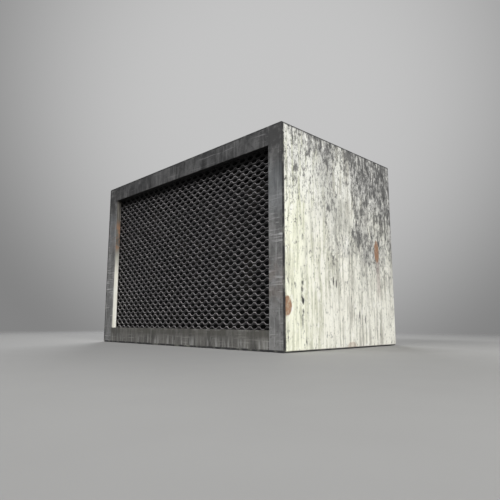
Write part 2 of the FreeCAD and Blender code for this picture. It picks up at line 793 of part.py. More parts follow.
def pleated_media():
    """Folded filter paper: one square pleat, its folds upright, repeated along the element."""
    wall = cell("element_wall")
    start = element_x[0] + wall
    run = element_x[1] - wall - start
    pleats = int(run.value / cell("pleat_pitch").value)
    spread = run / pleats
    left_fold = start + spread / 2
    paper = cell("paper")
    near = element_front + cell("pleat_margin")
    far = element_back - cell("pleat_margin")
    corners = [
        (start, near), (start + paper, near),
        (start + paper, far - paper), (left_fold - paper, far - paper),
        (left_fold - paper, near), (start + spread, near),
        (start + spread, near + paper), (left_fold, near + paper),
        (left_fold, far), (start, far),
    ]
    body = new_body("pleated_media")
    pleat = pad(body, "pleat", "z", corners, *grown(element_z, -wall))
    doc.recompute()
    pattern = body.newObject("PartDesign::LinearPattern", "pleat_row")
    pattern.Originals = [pleat]
    pattern.Direction = (pleat.Profile[0], ["H_Axis"])
    pattern.Occurrences = pleats
    bind(pattern, "Length", run - spread)
    body.Tip = pattern
    return body


def element_seal():
    """Soft bead on the element's rear face."""
    outer_x = grown(element_x, -cell("seal_inset"))
    outer_z = grown(element_z, -cell("seal_inset"))
    width = cell("seal_width")
    y = (element_back, seal_rear)
    return ring("element_seal", (outer_x, y, outer_z),
                (grown(outer_x, -width), grown(y, PAST), grown(outer_z, -width)))


def element_clips():
    """Spring strips in the tray's webs that hook over the element's rear edge."""
    thick = cell("spring_strip")
    clips = []
    for inward, level in ((1, "low"), (-1, "high")):
        web = tray_z[0] + sheet if inward > 0 else tray_z[1] - sheet
        leg_z = in_order(web, web + thick * inward)
        hook_z = in_order(web + thick * inward, web + cell("spring_hook") * inward)
        for number, step in enumerate((-1, 0, 1)):
            x_middle = cell("spring_spacing") * step
            x = grown((x_middle, x_middle), cell("spring_width") / 2)
            label = f"spring_{level}_{number}"
            leg = block(f"{label}_leg", x, (element_back - cell("spring_leg"), element_back + thick),
                        leg_z)
            hook = block(f"{label}_hook", x, (element_back, element_back + thick), hook_z)
            clips.append(joined(label, [leg, hook]))
    return group("element_clips", clips)


def drawer_gasket():
    """Sealing ring between the end plate and the left wall."""
    inner_y = grown(cutout_y, cell("gasket_room"))
    inner_gap_z = grown(cutout_z, cell("gasket_room"))
    width = cell("gasket_width")
    x = (plate_back, plate_back + cell("gasket_thick"))
    return ring("drawer_gasket", (x, grown(inner_y, width), grown(inner_gap_z, width)),
                (grown(x, PAST), inner_y, inner_gap_z))


def drawer_end_plate():
    """Outer cover of the drawer with its screw and rivet holes."""
    body = new_body("drawer_end_plate")
    plate_z = grown((as_size(0), height), -cell("plate_inset"))
    circles = [(handle_y, z, cell("shank_radius") + cell("running_gap")) for z in screw_z.values()]
    circles += [(y, z, cell("rivet_radius")) for y, z in rivet_places + bracket_rivet_places()]
    plate = pad(body, "cover_sheet", "x", rectangle(plate_y, plate_z), plate_face, plate_back, circles)
    doc.recompute()
    fillet(body, "cover_corners", plate, edges_along(body.Shape, "x", lambda point: True),
           cell("plate_radius"))
    return body


def rivet(name, across, head_seat, tail_seat):
    """Domed rivet along X: head outside at head_seat, upset tail inside at tail_seat."""
    dome = cone(f"{name}_head", "x", across, (cell("rivet_crown"), cell("rivet_head")),
                head_seat - cell("rivet_dome"), head_seat)
    shank = rod(f"{name}_shank", "x", across, cell("rivet_radius"), head_seat, tail_seat)
    tail = rod(f"{name}_tail", "x", across, cell("rivet_tail_radius"), tail_seat,
               tail_seat + cell("rivet_tail"))
    return joined(name, [dome, shank, tail])


def end_plate_rivets():
    return group("end_plate_rivets", [rivet(f"plate_rivet_{number}", across, plate_face, post_face)
                                      for number, across in enumerate(rivet_places)])


# --- handle and thumbscrews ------------------------------------------------------------------

bracket_face = plate_face - sheet
bail_x = plate_face - cell("bail_reach")
ear_inner = cell("bail_half") + cell("bail_rod") * 2 + cell("ear_play")
bracket_reach = ear_inner - cell("foot_reach")


def bracket_rivet_places():
    """Rivet centres of the handle brackets."""
    offset = cell("bail_half") + cell("foot_rivet_out")
    return [(handle_y + offset * side, cell("bail_height") + cell("foot_rivet_rise") * step)
            for side in (-1, 1) for step in (-1, 1)]


def handle_brackets():
    """Two brackets, each a foot on the plate and an ear with the bail's bearing hole."""
    level = cell("bail_height")
    brackets = []
    for side, name in ((-1, "front"), (1, "rear")):
        outer_side = handle_y + (ear_inner + cell("ear_thick")) * side
        ear_y = in_order(handle_y + ear_inner * side, outer_side)
        foot_y = in_order(handle_y + bracket_reach * side, outer_side)
        foot = block(f"bracket_{name}_foot", (bracket_face, plate_face), foot_y,
                     grown((level, level), cell("foot_half")))
        ear = block(f"bracket_{name}_ear", (bail_x, bracket_face), ear_y,
                    grown((level, level), cell("ear_half")))
        nose = rod(f"bracket_{name}_nose", "y", (bail_x, level), cell("ear_half"), *ear_y)
        bore = rod(f"bracket_{name}_bore", "y", (bail_x, level),
                   cell("bail_rod") + cell("running_gap"), *grown(ear_y, PAST))
        holes = [rod(f"bracket_{name}_hole_{number}", "x", across, cell("rivet_radius"),
                     bracket_face - PAST, plate_face + PAST)
                 for number, across in enumerate(bracket_rivet_places())
                 if (across[0].value - handle_y.value) * side > 0]
        brackets.append(less(f"bracket_{name}",
                             joined(f"bracket_{name}_body", [foot, ear, nose]), [bore, *holes]))
    return group("handle_brackets", brackets)


def bracket_rivets():
    return group("bracket_rivets", [rivet(f"bracket_rivet_{number}", across, bracket_face, post_face)
                                    for number, across in enumerate(bracket_rivet_places())])


def bail_path():
    """Centre line of the bail: two stubs in the ears, two legs and a grip, with round bends."""
    x = bail_x.value
    y = handle_y.value
    half = cell("bail_half").value
    top = cell("bail_height").value
    grip = top - cell("bail_drop").value
    stub = (ear_inner + cell("ear_thick") + cell("bail_stub")).value
    bend = cell("bail_rod").value * 2
    corner = bend * (1 - math.sqrt(0.5))

    def at(offset, level):
        return FreeCAD.Vector(x, y + offset, level)

    edges = [
        Part.LineSegment(at(-stub, top), at(-half - bend, top)),
        Part.Arc(at(-half - bend, top), at(-half - corner, top - corner), at(-half, top - bend)),
        Part.LineSegment(at(-half, top - bend), at(-half, grip + bend)),
        Part.Arc(at(-half, grip + bend), at(-half + corner, grip + corner), at(-half + bend, grip)),
        Part.LineSegment(at(-half + bend, grip), at(half - bend, grip)),
        Part.Arc(at(half - bend, grip), at(half - corner, grip + corner), at(half, grip + bend)),
        Part.LineSegment(at(half, grip + bend), at(half, top - bend)),
        Part.Arc(at(half, top - bend), at(half + corner, top - corner), at(half + bend, top)),
        Part.LineSegment(at(half + bend, top), at(stub, top)),
    ]
    return Part.Wire([edge.toShape() for edge in edges])


def pull_handle():
    """Bent rod handle that hangs from the brackets and swings outward."""
    path = doc.addObject("Part::Feature", "bail_centre_line")
    path.Shape = bail_path()
    section = doc.addObject("Part::Circle", "bail_section")
    bind(section, "Radius", cell("bail_rod"))
    section.Placement = FreeCAD.Placement(path.Shape.Vertexes[0].Point, TURN["y"])
    handle = doc.addObject("Part::Sweep", "pull_handle")
    handle.Sections = [section]
    handle.Spine = (path, [])
    handle.Solid = True
    return handle


def screw_groove():
    """Span along X of the ring groove behind the end plate."""
    start = plate_back + cell("wall_gap")
    return (start, start + cell("groove_width"))


def thumbscrew(level):
    """Captive screw: knurled head, collar, shank with a ring groove, coned tip."""
    edge = cell("knob_edge")
    knob_back = plate_face - cell("wall_gap")
    collar_end = knob_back - cell("collar_length")
    knob_end = collar_end - cell("knob_length")
    groove = screw_groove()
    tip = -inner_x + cell("nut_thick") + cell("screw_tip")
    shank = cell("shank_radius")
    profile = [
        (knob_end, as_size(0)),
        (knob_end, cell("knob_radius") - edge),
        (knob_end + edge, cell("knob_radius")),
        (collar_end - edge, cell("knob_radius")),
        (collar_end, cell("knob_radius") - edge),
        (collar_end, cell("collar_radius")),
        (knob_back, cell("collar_radius")),
        (knob_back, shank),
        (groove[0], shank),
        (groove[0], cell("groove_radius")),
        (groove[1], cell("groove_radius")),
        (groove[1], shank),
        (tip - edge, shank),
        (tip, shank - edge),
        (tip, as_size(0)),
    ]
    return turned_body(f"thumbscrew_{level}", "x", profile, handle_y, screw_z[level])


def retaining_clip(level):
    """Ring in the screw's groove, behind the end plate."""
    across = (handle_y, screw_z[level])
    span = screw_groove()
    name = f"{level}_retaining_clip"
    return less(name, rod(f"{name}_disc", "x", across, cell("clip_radius"), *span),
                [rod(f"{name}_bore", "x", across, cell("groove_radius"), *grown(span, PAST))])


# --- assembly --------------------------------------------------------------------------------

rear_screws, rear_nuts = screws_and_nuts("rear", cover_screws, cover_face, rear - sheet)
spigot_screws, spigot_nuts = screws_and_nuts("spigot", spigot_screws_at, spigot_flange_face,
                                             cover_back)
nodes = [
    casing_wrapper(),
    frame_stile("frame_left_stile", -1),
    frame_stile("frame_right_stile", 1),
    frame_rail("frame_bottom_rail", open_z[0], -1),
    frame_rail("frame_top_rail", open_z[1], 1),
    frame_corner_straps(),
    grille(),
    grille_retainer(),
    grille_clips(),
    runner("lower_runner", inner_z[0], tray_z[0], 1),
    runner("upper_runner", inner_z[1], tray_z[1], -1),
    seal_partition(),
    thumbscrew_nuts(),
    base_rivet_nuts(),
    rear_gasket(),
    rear_panel(),
    rear_screws,
    rear_nuts,
    outlet_spigot(),
    spigot_gasket(),
    spigot_screws,
    spigot_nuts,
    drawer_end_plate(),
    drawer_gasket(),
    tray_rail("tray_bottom_rail", tray_z[0], 1),
    tray_rail("tray_top_rail", tray_z[1], -1),
    joined("tray_inner_post", tray_post("tray_inner_post", tray_inner_end, -1)),
    tray_outer_post(),
    end_plate_rivets(),
    prefilter_foam(),
    element_frame(),
    pleated_media(),
    element_seal(),
    element_clips(),
    handle_brackets(),
    bracket_rivets(),
    pull_handle(),
    thumbscrew("upper"),
    thumbscrew("lower"),
    retaining_clip("upper"),
    retaining_clip("lower"),
]
doc.recompute()

for item in doc.Objects:
    if "Invalid" in item.State or "Error" in item.State:
        raise RuntimeError(f"{item.Name} failed: {item.State}")
for node in nodes:
    if node.Shape.isNull() or not node.Shape.isValid() or not node.Shape.Solids:
        raise RuntimeError(f"{node.Label} has no valid solid")

os.makedirs("parts", exist_ok=True)
for node in nodes:
    node.Shape.exportStep(f"parts/{node.Label}.step")
    print(f"{node.Label}: {len(node.Shape.Solids)} solid(s), {node.Shape.Volume:.0f} mm3")
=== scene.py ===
"""Looks of the air filter housing: weathered sheet steel, raised expanded metal, filter drawer."""
import math

import bmesh
import bpy
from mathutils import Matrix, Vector


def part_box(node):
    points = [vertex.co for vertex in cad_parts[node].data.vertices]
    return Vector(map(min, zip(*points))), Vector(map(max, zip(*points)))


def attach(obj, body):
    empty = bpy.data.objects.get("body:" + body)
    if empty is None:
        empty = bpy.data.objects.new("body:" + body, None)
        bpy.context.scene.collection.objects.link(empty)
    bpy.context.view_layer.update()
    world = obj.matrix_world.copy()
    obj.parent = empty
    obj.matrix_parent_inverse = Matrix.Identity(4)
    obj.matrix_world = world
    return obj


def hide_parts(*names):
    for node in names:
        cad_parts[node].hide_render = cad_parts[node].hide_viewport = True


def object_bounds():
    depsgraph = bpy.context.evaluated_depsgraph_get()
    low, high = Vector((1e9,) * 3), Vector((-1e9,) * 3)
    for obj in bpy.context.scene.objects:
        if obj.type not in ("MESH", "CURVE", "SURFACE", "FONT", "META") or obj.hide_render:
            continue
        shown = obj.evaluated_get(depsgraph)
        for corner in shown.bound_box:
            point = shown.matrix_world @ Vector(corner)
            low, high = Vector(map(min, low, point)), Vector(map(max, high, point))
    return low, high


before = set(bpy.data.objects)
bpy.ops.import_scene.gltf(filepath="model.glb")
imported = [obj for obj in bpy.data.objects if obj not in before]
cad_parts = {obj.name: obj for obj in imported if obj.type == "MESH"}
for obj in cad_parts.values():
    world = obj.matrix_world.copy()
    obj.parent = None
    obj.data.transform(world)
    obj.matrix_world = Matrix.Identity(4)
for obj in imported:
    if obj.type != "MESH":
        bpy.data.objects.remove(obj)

CAD_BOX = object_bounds()
MM = 0.001
CASE_LOW, CASE_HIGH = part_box("casing_wrapper")
HEIGHT = CASE_HIGH.z - CASE_LOW.z


# --- camera, light and floor -----------------------------------------------------------------

VIEW_AZIMUTH = math.radians(45.64)
VIEW_ELEVATION = math.radians(8.717)
VIEW_LENS = 33.48
CAMERA_FROM_CORNER = Vector((1.28199, -1.45476, 0.12716))     # in heights of the casing


def make_camera():
    """Low and near the front right corner, looking slightly up, as the photograph was taken."""
    corner = Vector((CASE_HIGH.x, CASE_LOW.y, CASE_LOW.z))
    azimuth, elevation = VIEW_AZIMUTH, VIEW_ELEVATION
    forward = Vector((-math.sin(azimuth) * math.cos(elevation),
                      math.cos(azimuth) * math.cos(elevation), math.sin(elevation)))
    camera = bpy.data.objects.new("camera", bpy.data.cameras.new("camera"))
    bpy.context.collection.objects.link(camera)
    camera.data.sensor_width = 36
    camera.data.lens = VIEW_LENS
    camera.data.clip_start = 0.01
    camera.location = corner + CAMERA_FROM_CORNER * HEIGHT
    camera.rotation_euler = forward.to_track_quat("-Z", "Y").to_euler()
    bpy.context.scene.camera = camera


def area_light(name, place, target, size, power, colour=(1, 1, 1)):
    """A rectangular softbox at a place, facing a target."""
    light = bpy.data.objects.new(name, bpy.data.lights.new(name, "AREA"))
    bpy.context.collection.objects.link(light)
    light.data.shape = "RECTANGLE"
    light.data.size, light.data.size_y = size
    light.data.energy = power
    light.data.color = colour
    light.location = place
    light.rotation_euler = (Vector(target) - Vector(place)).to_track_quat("-Z", "Y").to_euler()


def make_lights():
    """Softboxes on the right, high in front, and behind on the left."""
    middle = (CASE_LOW + CASE_HIGH) / 2
    area_light("key", (1.12, -0.42, 0.50), middle, (0.6, 0.6), 14.5, (1.0, 0.99, 0.955))
    area_light("front_top", (-0.1, -0.75, 1.15), middle, (0.8, 0.25), 8.5)
    area_light("left_back", (-1.0, 0.9, 0.8), middle, (0.8, 0.8), 14)


def make_world():
    """A pale studio surround, brightest behind the object. As light it is even and dimmer."""
    world = bpy.data.worlds.new("studio")
    bpy.context.scene.world = world
    world.use_nodes = True
    tree = world.node_tree
    tree.nodes.clear()
    output = tree.nodes.new("ShaderNodeOutputWorld")
    place = tree.nodes.new("ShaderNodeTexCoord").outputs["Generated"]
    towards = tree.nodes.new("ShaderNodeVectorMath")
    towards.operation = "DOT_PRODUCT"
    towards.inputs[1].default_value = Vector((-0.62, 0.66, 0.43)).normalized()
    tree.links.new(place, towards.inputs[0])
    glow = tree.nodes.new("ShaderNodeMapRange")
    glow.interpolation_type = "SMOOTHSTEP"
    for socket, value in zip(("From Min", "From Max", "To Min", "To Max"), (0.80, 1.0, 0.225, 0.555)):
        glow.inputs[socket].default_value = value
    tree.links.new(towards.outputs["Value"], glow.inputs["Value"])
    seen = tree.nodes.new("ShaderNodeBackground")
    tree.links.new(glow.outputs["Result"], seen.inputs["Strength"])
    fill = tree.nodes.new("ShaderNodeBackground")
    fill.inputs["Strength"].default_value = 0.12
    for shader in (seen, fill):
        shader.inputs["Color"].default_value = (1, 1, 1, 1)
    rays = tree.nodes.new("ShaderNodeLightPath")
    either = tree.nodes.new("ShaderNodeMixShader")
    tree.links.new(rays.outputs["Is Camera Ray"], either.inputs[0])
    tree.links.new(fill.outputs[0], either.inputs[1])
    tree.links.new(seen.outputs[0], either.inputs[2])
    tree.links.new(either.outputs[0], output.inputs["Surface"])


def make_floor():
    """A pale round floor whose rim fades into the surround."""
    radius = 2.2
    mesh = bmesh.new()
    bmesh.ops.create_circle(mesh, cap_ends=True, segments=96, radius=radius)
    floor = mesh_object("floor", mesh, (0, 0, CAD_BOX[0].z - 0.3 * MM))
    paint = Paint("pale_floor")
    wide = paint.both(paint.x, 0.7)
    away = paint.math("SQRT", paint.math("ADD", paint.both(wide, wide), paint.both(paint.y, paint.y)))
    paint.base(paint.mix(paint.noise(35, detail=3), (0.315, 0.315, 0.315), (0.335, 0.335, 0.335)))
    paint.set("Roughness", 0.75)
    paint.set("Alpha", paint.level(away, 0.28, 0.66, 1, 0))
    paint.dress(floor)


# --- materials -------------------------------------------------------------------------------

class Paint:
    """A procedural material being built. Positions are the object's own, in metres."""

    def __init__(self, name, metallic=0.0, roughness=0.5):
        self.material = bpy.data.materials.new(name)
        self.material.use_nodes = True
        self.tree = self.material.node_tree
        self.tree.nodes.clear()
        output = self.tree.nodes.new("ShaderNodeOutputMaterial")
        self.surface = self.tree.nodes.new("ShaderNodeBsdfPrincipled")
        self.tree.links.new(self.surface.outputs[0], output.inputs["Surface"])
        self.set("Metallic", metallic)
        self.set("Roughness", roughness)
        self.place = self.tree.nodes.new("ShaderNodeTexCoord").outputs["Object"]
        apart = self.tree.nodes.new("ShaderNodeSeparateXYZ")
        self.tree.links.new(self.place, apart.inputs[0])
        self.x, self.y, self.z = apart.outputs

    def feed(self, socket, value):
        """Link a socket, or set its own value."""
        if isinstance(value, bpy.types.NodeSocket):
            self.tree.links.new(value, socket)
        elif isinstance(value, tuple) and socket.type == "RGBA":
            socket.default_value = (*value, 1)
        else:
            socket.default_value = value

    def set(self, name, value):
        self.feed(self.surface.inputs[name], value)

    def base(self, colour):
        self.set("Base Color", colour)

    def math(self, operation, one, two=0.0, clamp=False):
        node = self.tree.nodes.new("ShaderNodeMath")
        node.operation = operation
        node.use_clamp = clamp
        self.feed(node.inputs[0], one)
        self.feed(node.inputs[1], two)
        return node.outputs[0]

    def level(self, value, low, high, to_low=0.0, to_high=1.0):
        """Smoothly map a value between low and high to another span, clamped."""
        node = self.tree.nodes.new("ShaderNodeMapRange")
        node.interpolation_type = "SMOOTHSTEP"
        for name, number in (("Value", value), ("From Min", low), ("From Max", high),
                             ("To Min", to_low), ("To Max", to_high)):
            self.feed(node.inputs[name], number)
        return node.outputs["Result"]

    def noise(self, scale, stretch=(1, 1, 1), detail=4.0, rough=0.5, warp=0.0, shift=0.0):
        """Noise with a number of cells to the metre, more or fewer along each axis."""
        mapping = self.tree.nodes.new("ShaderNodeMapping")
        self.feed(mapping.inputs["Vector"], self.place)
        self.feed(mapping.inputs["Location"], (shift, shift * 0.7, shift * 1.3))
        self.feed(mapping.inputs["Scale"], stretch)
        node = self.tree.nodes.new("ShaderNodeTexNoise")
        self.feed(node.inputs["Vector"], mapping.outputs[0])
        for name, number in (("Scale", scale), ("Detail", detail), ("Roughness", rough),
                             ("Distortion", warp)):
            self.feed(node.inputs[name], number)
        return node.outputs["Fac"]

    def cells(self, scale):
        """Distance to the nearest of many scattered points."""
        node = self.tree.nodes.new("ShaderNodeTexVoronoi")
        self.feed(node.inputs["Vector"], self.place)
        self.feed(node.inputs["Scale"], scale)
        return node.outputs["Distance"]

    def mix(self, share, one, two):
        """Colour two over colour one, by a share from 0 to 1."""
        node = self.tree.nodes.new("ShaderNodeMix")
        node.data_type = "RGBA"
        self.feed(node.inputs[0], share)
        self.feed(node.inputs[6], one)
        self.feed(node.inputs[7], two)
        return node.outputs[2]

    def both(self, one, two):
        """Where both shares hold: their product."""
        return self.math("MULTIPLY", one, two)

    def near(self, value, centre, half):
        """1 where a coordinate is at a centre, 0 beyond half its width away."""
        away = self.math("ABSOLUTE", self.math("SUBTRACT", value, centre))
        return self.level(away, half * 0.35, half, 1, 0)

    def spot(self, first, second, centre, half, ragged):
        """A round patch with a ragged edge: first and second are coordinates."""
        parts = []
        for value, middle, reach in zip((first, second), centre, half):
            away = self.math("DIVIDE", self.math("SUBTRACT", value, middle), reach)
            parts.append(self.both(away, away))
        away = self.math("ADD", self.math("ADD", *parts), self.both(ragged, 1.1))
        return self.level(away, 1.1, 1.75, 1, 0)

    def relief(self, height, distance, strength=1.0):
        """Bump, in metres of distance."""
        node = self.tree.nodes.new("ShaderNodeBump")
        self.feed(node.inputs["Height"], height)
        self.feed(node.inputs["Distance"], distance)
        self.feed(node.inputs["Strength"], strength)
        self.set("Normal", node.outputs[0])

    def dress(self, *objects):
        """Give the material to objects, in place of what they had."""
        for item in objects:
            item.data.materials.clear()
            item.data.materials.append(self.material)
            for polygon in item.data.polygons:
                polygon.material_index = 0


SOOT = (0.035, 0.035, 0.038)


def in_heights(paint, value, low):
    """A coordinate counted from its low end, in heights of the casing."""
    return paint.math("DIVIDE", paint.math("SUBTRACT", value, low), HEIGHT)


def rust_over(paint, colour, mask):
    """Rust over a colour where a mask is 1, darker in places."""
    tone = paint.mix(paint.noise(420, detail=5), (0.20, 0.105, 0.06), (0.40, 0.225, 0.13))
    return paint.mix(mask, colour, tone)


def casing_tone(paint, up, back):
    """Colour of the weathered sheet, and the noises that its roughness and relief follow.

    up and back are in heights of the casing.
    """
    streak = paint.noise(1, stretch=(270, 270, 20), detail=8, rough=0.7, shift=4)
    wide_streak = paint.noise(1, stretch=(70, 70, 11), detail=8, rough=0.72, shift=8)
    hair = paint.noise(1, stretch=(620, 620, 62), detail=6, rough=0.7, shift=6)
    broad = paint.noise(13, detail=3, rough=0.5, warp=0.3, shift=3)
    patches = paint.noise(26, stretch=(1, 1, 0.55), detail=5, rough=0.65, shift=26)
    cloud = paint.noise(36, stretch=(1, 1, 0.6), detail=10, rough=0.72, warp=0.4, shift=1)
    grit = paint.noise(330, stretch=(1, 1, 0.7), detail=6, rough=0.74, shift=2)
    fleck = paint.noise(170, stretch=(1, 1, 0.42), detail=9, rough=0.78, warp=0.2, shift=15)

    pale = paint.mix(paint.level(back, 0.06, 0.26), (0.90, 0.91, 0.77), (0.88, 0.875, 0.80))
    pale = paint.mix(paint.level(up, 0.45, 0.85), pale, (0.84, 0.845, 0.80))
    dull = paint.mix(paint.level(back, 0.08, 0.5), (0.64, 0.65, 0.52), (0.50, 0.49, 0.44))
    uneven = paint.math("ADD", streak, paint.both(patches, 0.3))
    colour = paint.mix(paint.level(uneven, 0.67, 0.56), pale, dull)
    runs = paint.both(paint.level(wide_streak, 0.50, 0.64), paint.level(back, 0.06, 0.25, 0.3, 0.85))
    runs = paint.both(runs, paint.level(patches, 0.40, 0.60, 0.15, 1.0))
    colour = paint.mix(runs, colour, (0.38, 0.38, 0.33))
    worn_away = paint.both(paint.level(patches, 0.46, 0.66), paint.level(back, 0.14, 0.34))
    colour = paint.mix(paint.both(worn_away, 0.5), colour, (0.44, 0.44, 0.415))
    bright_patch = paint.both(paint.near(back, 0.45, 0.1), paint.near(up, 0.78, 0.34))
    grime = paint.math("ADD", up, paint.both(back, 0.42))
    grime = paint.math("ADD", grime, paint.both(paint.math("SUBTRACT", broad, 0.5), 1.1))
    grime = paint.math("SUBTRACT", grime, paint.both(bright_patch, 0.24))
    grime = paint.level(grime, 0.34, 1.30)
    veil = paint.math("ADD", paint.both(grime, 0.42), cloud)
    colour = paint.mix(paint.both(paint.level(veil, 0.60, 0.94), 0.75), colour, (0.40, 0.40, 0.405))
    spots = paint.math("ADD", fleck, paint.both(grime, 0.11))
    colour = paint.mix(paint.both(paint.level(spots, 0.575, 0.65), 0.85), colour, (0.10, 0.10, 0.10))
    specks = paint.noise(430, stretch=(1, 1, 0.5), detail=6, rough=0.75, warp=0.2, shift=21)
    specks = paint.math("ADD", specks, paint.both(grime, 0.12))
    colour = paint.mix(paint.both(paint.level(specks, 0.57, 0.64), 0.7), colour, (0.07, 0.07, 0.072))
    colour = paint.mix(paint.both(paint.level(fleck, 0.45, 0.37), 0.75), colour, (0.92, 0.92, 0.88))
    dirty = paint.math("ADD", paint.both(grime, 0.06),
                       paint.both(paint.level(back, 0.0, 0.09, 1, 0), paint.level(up, 0.3, 0.6, 0, 0.05)))
    colour = paint.mix(paint.both(paint.level(paint.math("ADD", grit, dirty), 0.62, 0.68), 0.85),
                       colour, SOOT)
    colour = paint.mix(paint.both(paint.level(hair, 0.58, 0.68), 0.55), colour, (0.22, 0.22, 0.20))
    return colour, cloud, grit, streak


def casing_paint():
    """Bare galvanised sheet: streaked and pale low down, grey and blotched towards the top."""
    paint = Paint("weathered_casing", metallic=0.12)
    up = in_heights(paint, paint.z, CASE_LOW.z)
    back = in_heights(paint, paint.y, CASE_LOW.y)
    colour, cloud, grit, streak = casing_tone(paint, up, back)
    ragged = paint.math("SUBTRACT", paint.noise(120, detail=6, rough=0.65, shift=9), 0.5)
    on_right = paint.level(paint.x, CASE_HIGH.x - 2 * MM, CASE_HIGH.x - 0.4 * MM)

    chain = paint.both(paint.near(paint.math("ADD", back, paint.both(ragged, 0.03)), 0.118, 0.012),
                       paint.near(up, 0.22, 0.15))
    chain = paint.both(chain, paint.level(paint.noise(210, detail=5, rough=0.7, shift=12), 0.42, 0.54))
    for where in ((0.345, 0.315), (0.368, 0.30), (0.56, 0.155), (0.61, 0.135)):
        mark = paint.spot(back, up, where, (0.004, 0.018), paint.both(ragged, 3.2))
        chain = paint.math("MAXIMUM", chain, paint.both(mark, 0.8))
    colour = paint.mix(paint.both(chain, on_right), colour, SOOT)

    drip = paint.both(paint.near(back, 0.75, 0.024), paint.near(up, 0.36, 0.15))
    colour = paint.mix(paint.both(paint.both(drip, on_right), 0.45), colour, (0.40, 0.33, 0.31))
    rust = paint.spot(back, up, (0.742, 0.49), (0.018, 0.05), paint.both(ragged, 1.6))
    front_rust = paint.spot(back, up, (0.016, 0.19), (0.024, 0.036), paint.both(ragged, 1.6))
    low_rust = paint.spot(back, up, (0.49, 0.005), (0.035, 0.02), paint.both(ragged, 2.4))
    rust = paint.math("MAXIMUM", paint.math("MAXIMUM", rust, front_rust), paint.both(low_rust, 0.4))
    rust = paint.both(rust, on_right)
    patchy = paint.level(paint.noise(260, detail=6, rough=0.7, shift=17), 0.34, 0.56, 0.62, 0.96)
    colour = rust_over(paint, colour, paint.both(rust, patchy))

    front = paint.level(paint.y, CASE_LOW.y + 0.5 * MM, CASE_LOW.y + 1.5 * MM, 1, 0)
    top = paint.level(paint.z, CASE_HIGH.z - 2.6 * MM, CASE_HIGH.z - 1.2 * MM)
    bottom = paint.level(paint.z, CASE_LOW.z + 0.5 * MM, CASE_LOW.z + 1.5 * MM, 1, 0)
    edge = paint.math("MAXIMUM", paint.math("MAXIMUM", front, top), bottom)
    edge = paint.both(edge, paint.level(ragged, -0.16, 0.04, 0.8, 1.0))
    paint.base(paint.mix(edge, colour, SOOT))
    rough = paint.level(cloud, 0.3, 0.7, 0.5, 0.68)
    paint.set("Roughness", paint.math("ADD", rough, paint.both(rust, 0.3), clamp=True))
    dents = paint.math("ADD", paint.both(streak, 0.3), paint.both(grit, 0.6))
    paint.relief(paint.math("ADD", dents, paint.both(rust, 0.4)), 0.22 * MM, 0.5)
    return paint


